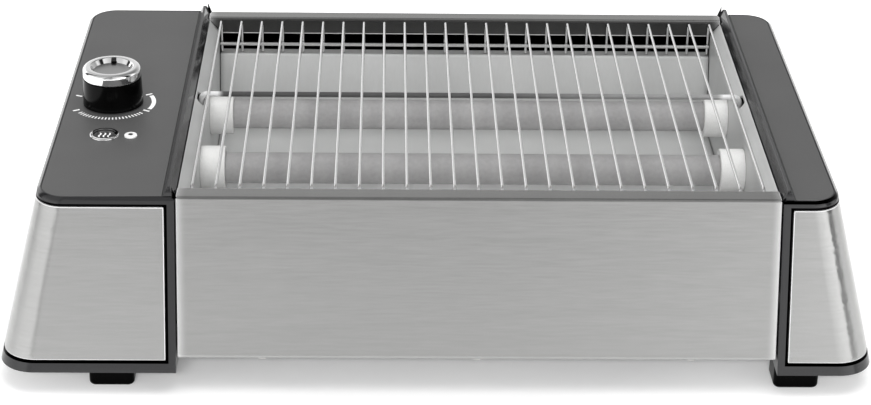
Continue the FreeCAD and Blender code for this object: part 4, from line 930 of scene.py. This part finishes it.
def flat_bar(name, width, length, radius):
    """A flat strip in front of the knob's axis, its long side pointing at the axis."""
    bpy.ops.object.select_all(action="DESELECT")
    bpy.ops.mesh.primitive_plane_add(size=1.0, location=(0, 0, 0))
    strip = bpy.context.object
    strip.name = name
    bpy.ops.object.mode_set(mode="EDIT")
    bpy.ops.transform.resize(value=(width, length, 1))
    bpy.ops.transform.translate(value=(0, -radius, 0))
    bpy.ops.object.mode_set(mode="OBJECT")
    return strip


def placed_copy(strip, placement):
    """A copy of a strip with its own mesh, moved or turned by a matrix."""
    copy = bpy.data.objects.new(strip.name, strip.data.copy())
    bpy.context.scene.collection.objects.link(copy)
    copy.data.transform(placement)
    return copy


def about_knob(degrees):
    """A turn about the knob's axis, positive to the right."""
    return Matrix.Rotation(math.radians(degrees), 4, "Z")


# %% Make the ticks and bars
# The width, the length and the middle's distance from the axis, and then the places in
# degrees from straight in front, positive to the right.
TICK, TICK_PLACES = (0.62 * MM, 2.3 * MM, 18.4 * MM), range(-50, 55, 5)
BAR, BAR_PLACES = (1.0 * MM, 3.3 * MM, 18.7 * MM), (-114, -61, 61, 122)
tick = flat_bar("tick", *TICK)
bar = flat_bar("bar", *BAR)
strips = [placed_copy(tick, about_knob(degrees)) for degrees in TICK_PLACES]
strips += [placed_copy(bar, about_knob(degrees)) for degrees in BAR_PLACES]
bpy.data.objects.remove(tick)
bpy.data.objects.remove(bar)
print("ticks and bars", len(strips))

# %% Spin the arc
ARC_START, ARC_END, ARC_STEPS = 68, 116, 16
ARC_IN, ARC_OUT = 18.0 * MM, 20.0 * MM
bpy.ops.object.select_all(action="DESELECT")
bpy.ops.mesh.primitive_plane_add(size=1.0, location=(0, 0, 0))
arc = bpy.context.object
bpy.ops.object.mode_set(mode="EDIT")
bpy.ops.transform.resize(value=(ARC_OUT - ARC_IN, 0, 1))
bpy.ops.mesh.remove_doubles(threshold=0.1 * MM)
bpy.ops.transform.translate(value=((ARC_OUT + ARC_IN) / 2, 0, 0))
bpy.ops.mesh.select_all(action="SELECT")
bpy.ops.mesh.spin(steps=ARC_STEPS, angle=math.radians(ARC_START - ARC_END),
                  center=(0, 0, 0), axis=(0, 0, 1))
bpy.ops.object.mode_set(mode="OBJECT")
# The edge was spun from the right-hand side, a quarter turn from straight in front.
arc.data.transform(about_knob(ARC_START - 90))
strips.append(arc)
print("arc", len(arc.data.polygons), "faces")

# %% Print the scale round the knob
# The film's thickness, and its gap to the surface, so that the two don't flicker.
FILM, FILM_GAP = 0.05 * MM, 0.01 * MM


def printed(name, strips, place):
    """Join flat strips into one printed film and put it in its place."""
    bpy.ops.object.select_all(action="DESELECT")
    for strip in strips:
        strip.select_set(True)
    bpy.context.view_layer.objects.active = strips[0]
    bpy.ops.object.join()
    film = bpy.context.object
    film.name = name
    bpy.ops.object.mode_set(mode="EDIT")
    bpy.ops.mesh.select_all(action="SELECT")
    bpy.ops.mesh.extrude_region_move(TRANSFORM_OT_translate={"value": (0, 0, FILM)})
    bpy.ops.mesh.select_all(action="SELECT")
    bpy.ops.mesh.normals_make_consistent(inside=False)
    bpy.ops.object.mode_set(mode="OBJECT")
    film.data.transform(Matrix.Translation(place))
    film.data.materials.append(white_print)
    print(name, len(film.data.polygons), "faces")
    return film


scale_marks = printed("scale_marks", strips, (KNOB_AXIS[0], KNOB_AXIS[1], DECK_TOP + FILM_GAP))
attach(scale_marks, "root")

# %% [markdown]
# ## The heat marks on the button
#
# The push button carries three upright waves, the usual sign for heat. A narrow strip
# is divided into rows, and each row of points is pushed sideways by a sine. Three
# copies of it stand side by side. They ride on the button and go down with it.

# %% Bend the wave
WAVE_ROWS, WAVE_LENGTH, WAVE_WIDTH, WAVE_SWING = 12, 4.4 * MM, 0.62 * MM, 0.42 * MM
WAVE_PITCH = 2.1 * MM
bpy.ops.object.select_all(action="DESELECT")
bpy.ops.mesh.primitive_grid_add(x_subdivisions=1, y_subdivisions=WAVE_ROWS, size=1.0,
                                location=(0, 0, 0))
wave = bpy.context.object
bpy.ops.object.mode_set(mode="EDIT")
bpy.ops.mesh.select_all(action="SELECT")
bpy.ops.transform.resize(value=(WAVE_WIDTH, WAVE_LENGTH, 1))
row_gap = WAVE_LENGTH / WAVE_ROWS
for row in range(WAVE_ROWS + 1):
    along = row * row_gap - WAVE_LENGTH / 2
    pick_points(wave, lambda place: abs(place.y - along) < row_gap / 2)
    push = WAVE_SWING * math.sin(2 * math.pi * along / WAVE_LENGTH)
    bpy.ops.transform.translate(value=(push, 0, 0))
bpy.ops.object.mode_set(mode="OBJECT")
print("wave", len(wave.data.polygons), "faces")

# %% Print the waves on the button
BUTTON_LOW, BUTTON_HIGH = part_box("push_button")
button_middle = ((BUTTON_LOW[0] + BUTTON_HIGH[0]) / 2, (BUTTON_LOW[1] + BUTTON_HIGH[1]) / 2)
waves = [placed_copy(wave, Matrix.Translation((column * WAVE_PITCH, 0, 0)))
         for column in (-1, 0, 1)]
bpy.data.objects.remove(wave)
button_marks = printed("button_marks", waves, (*button_middle, BUTTON_HIGH[2] + FILM_GAP))
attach(button_marks, "button")
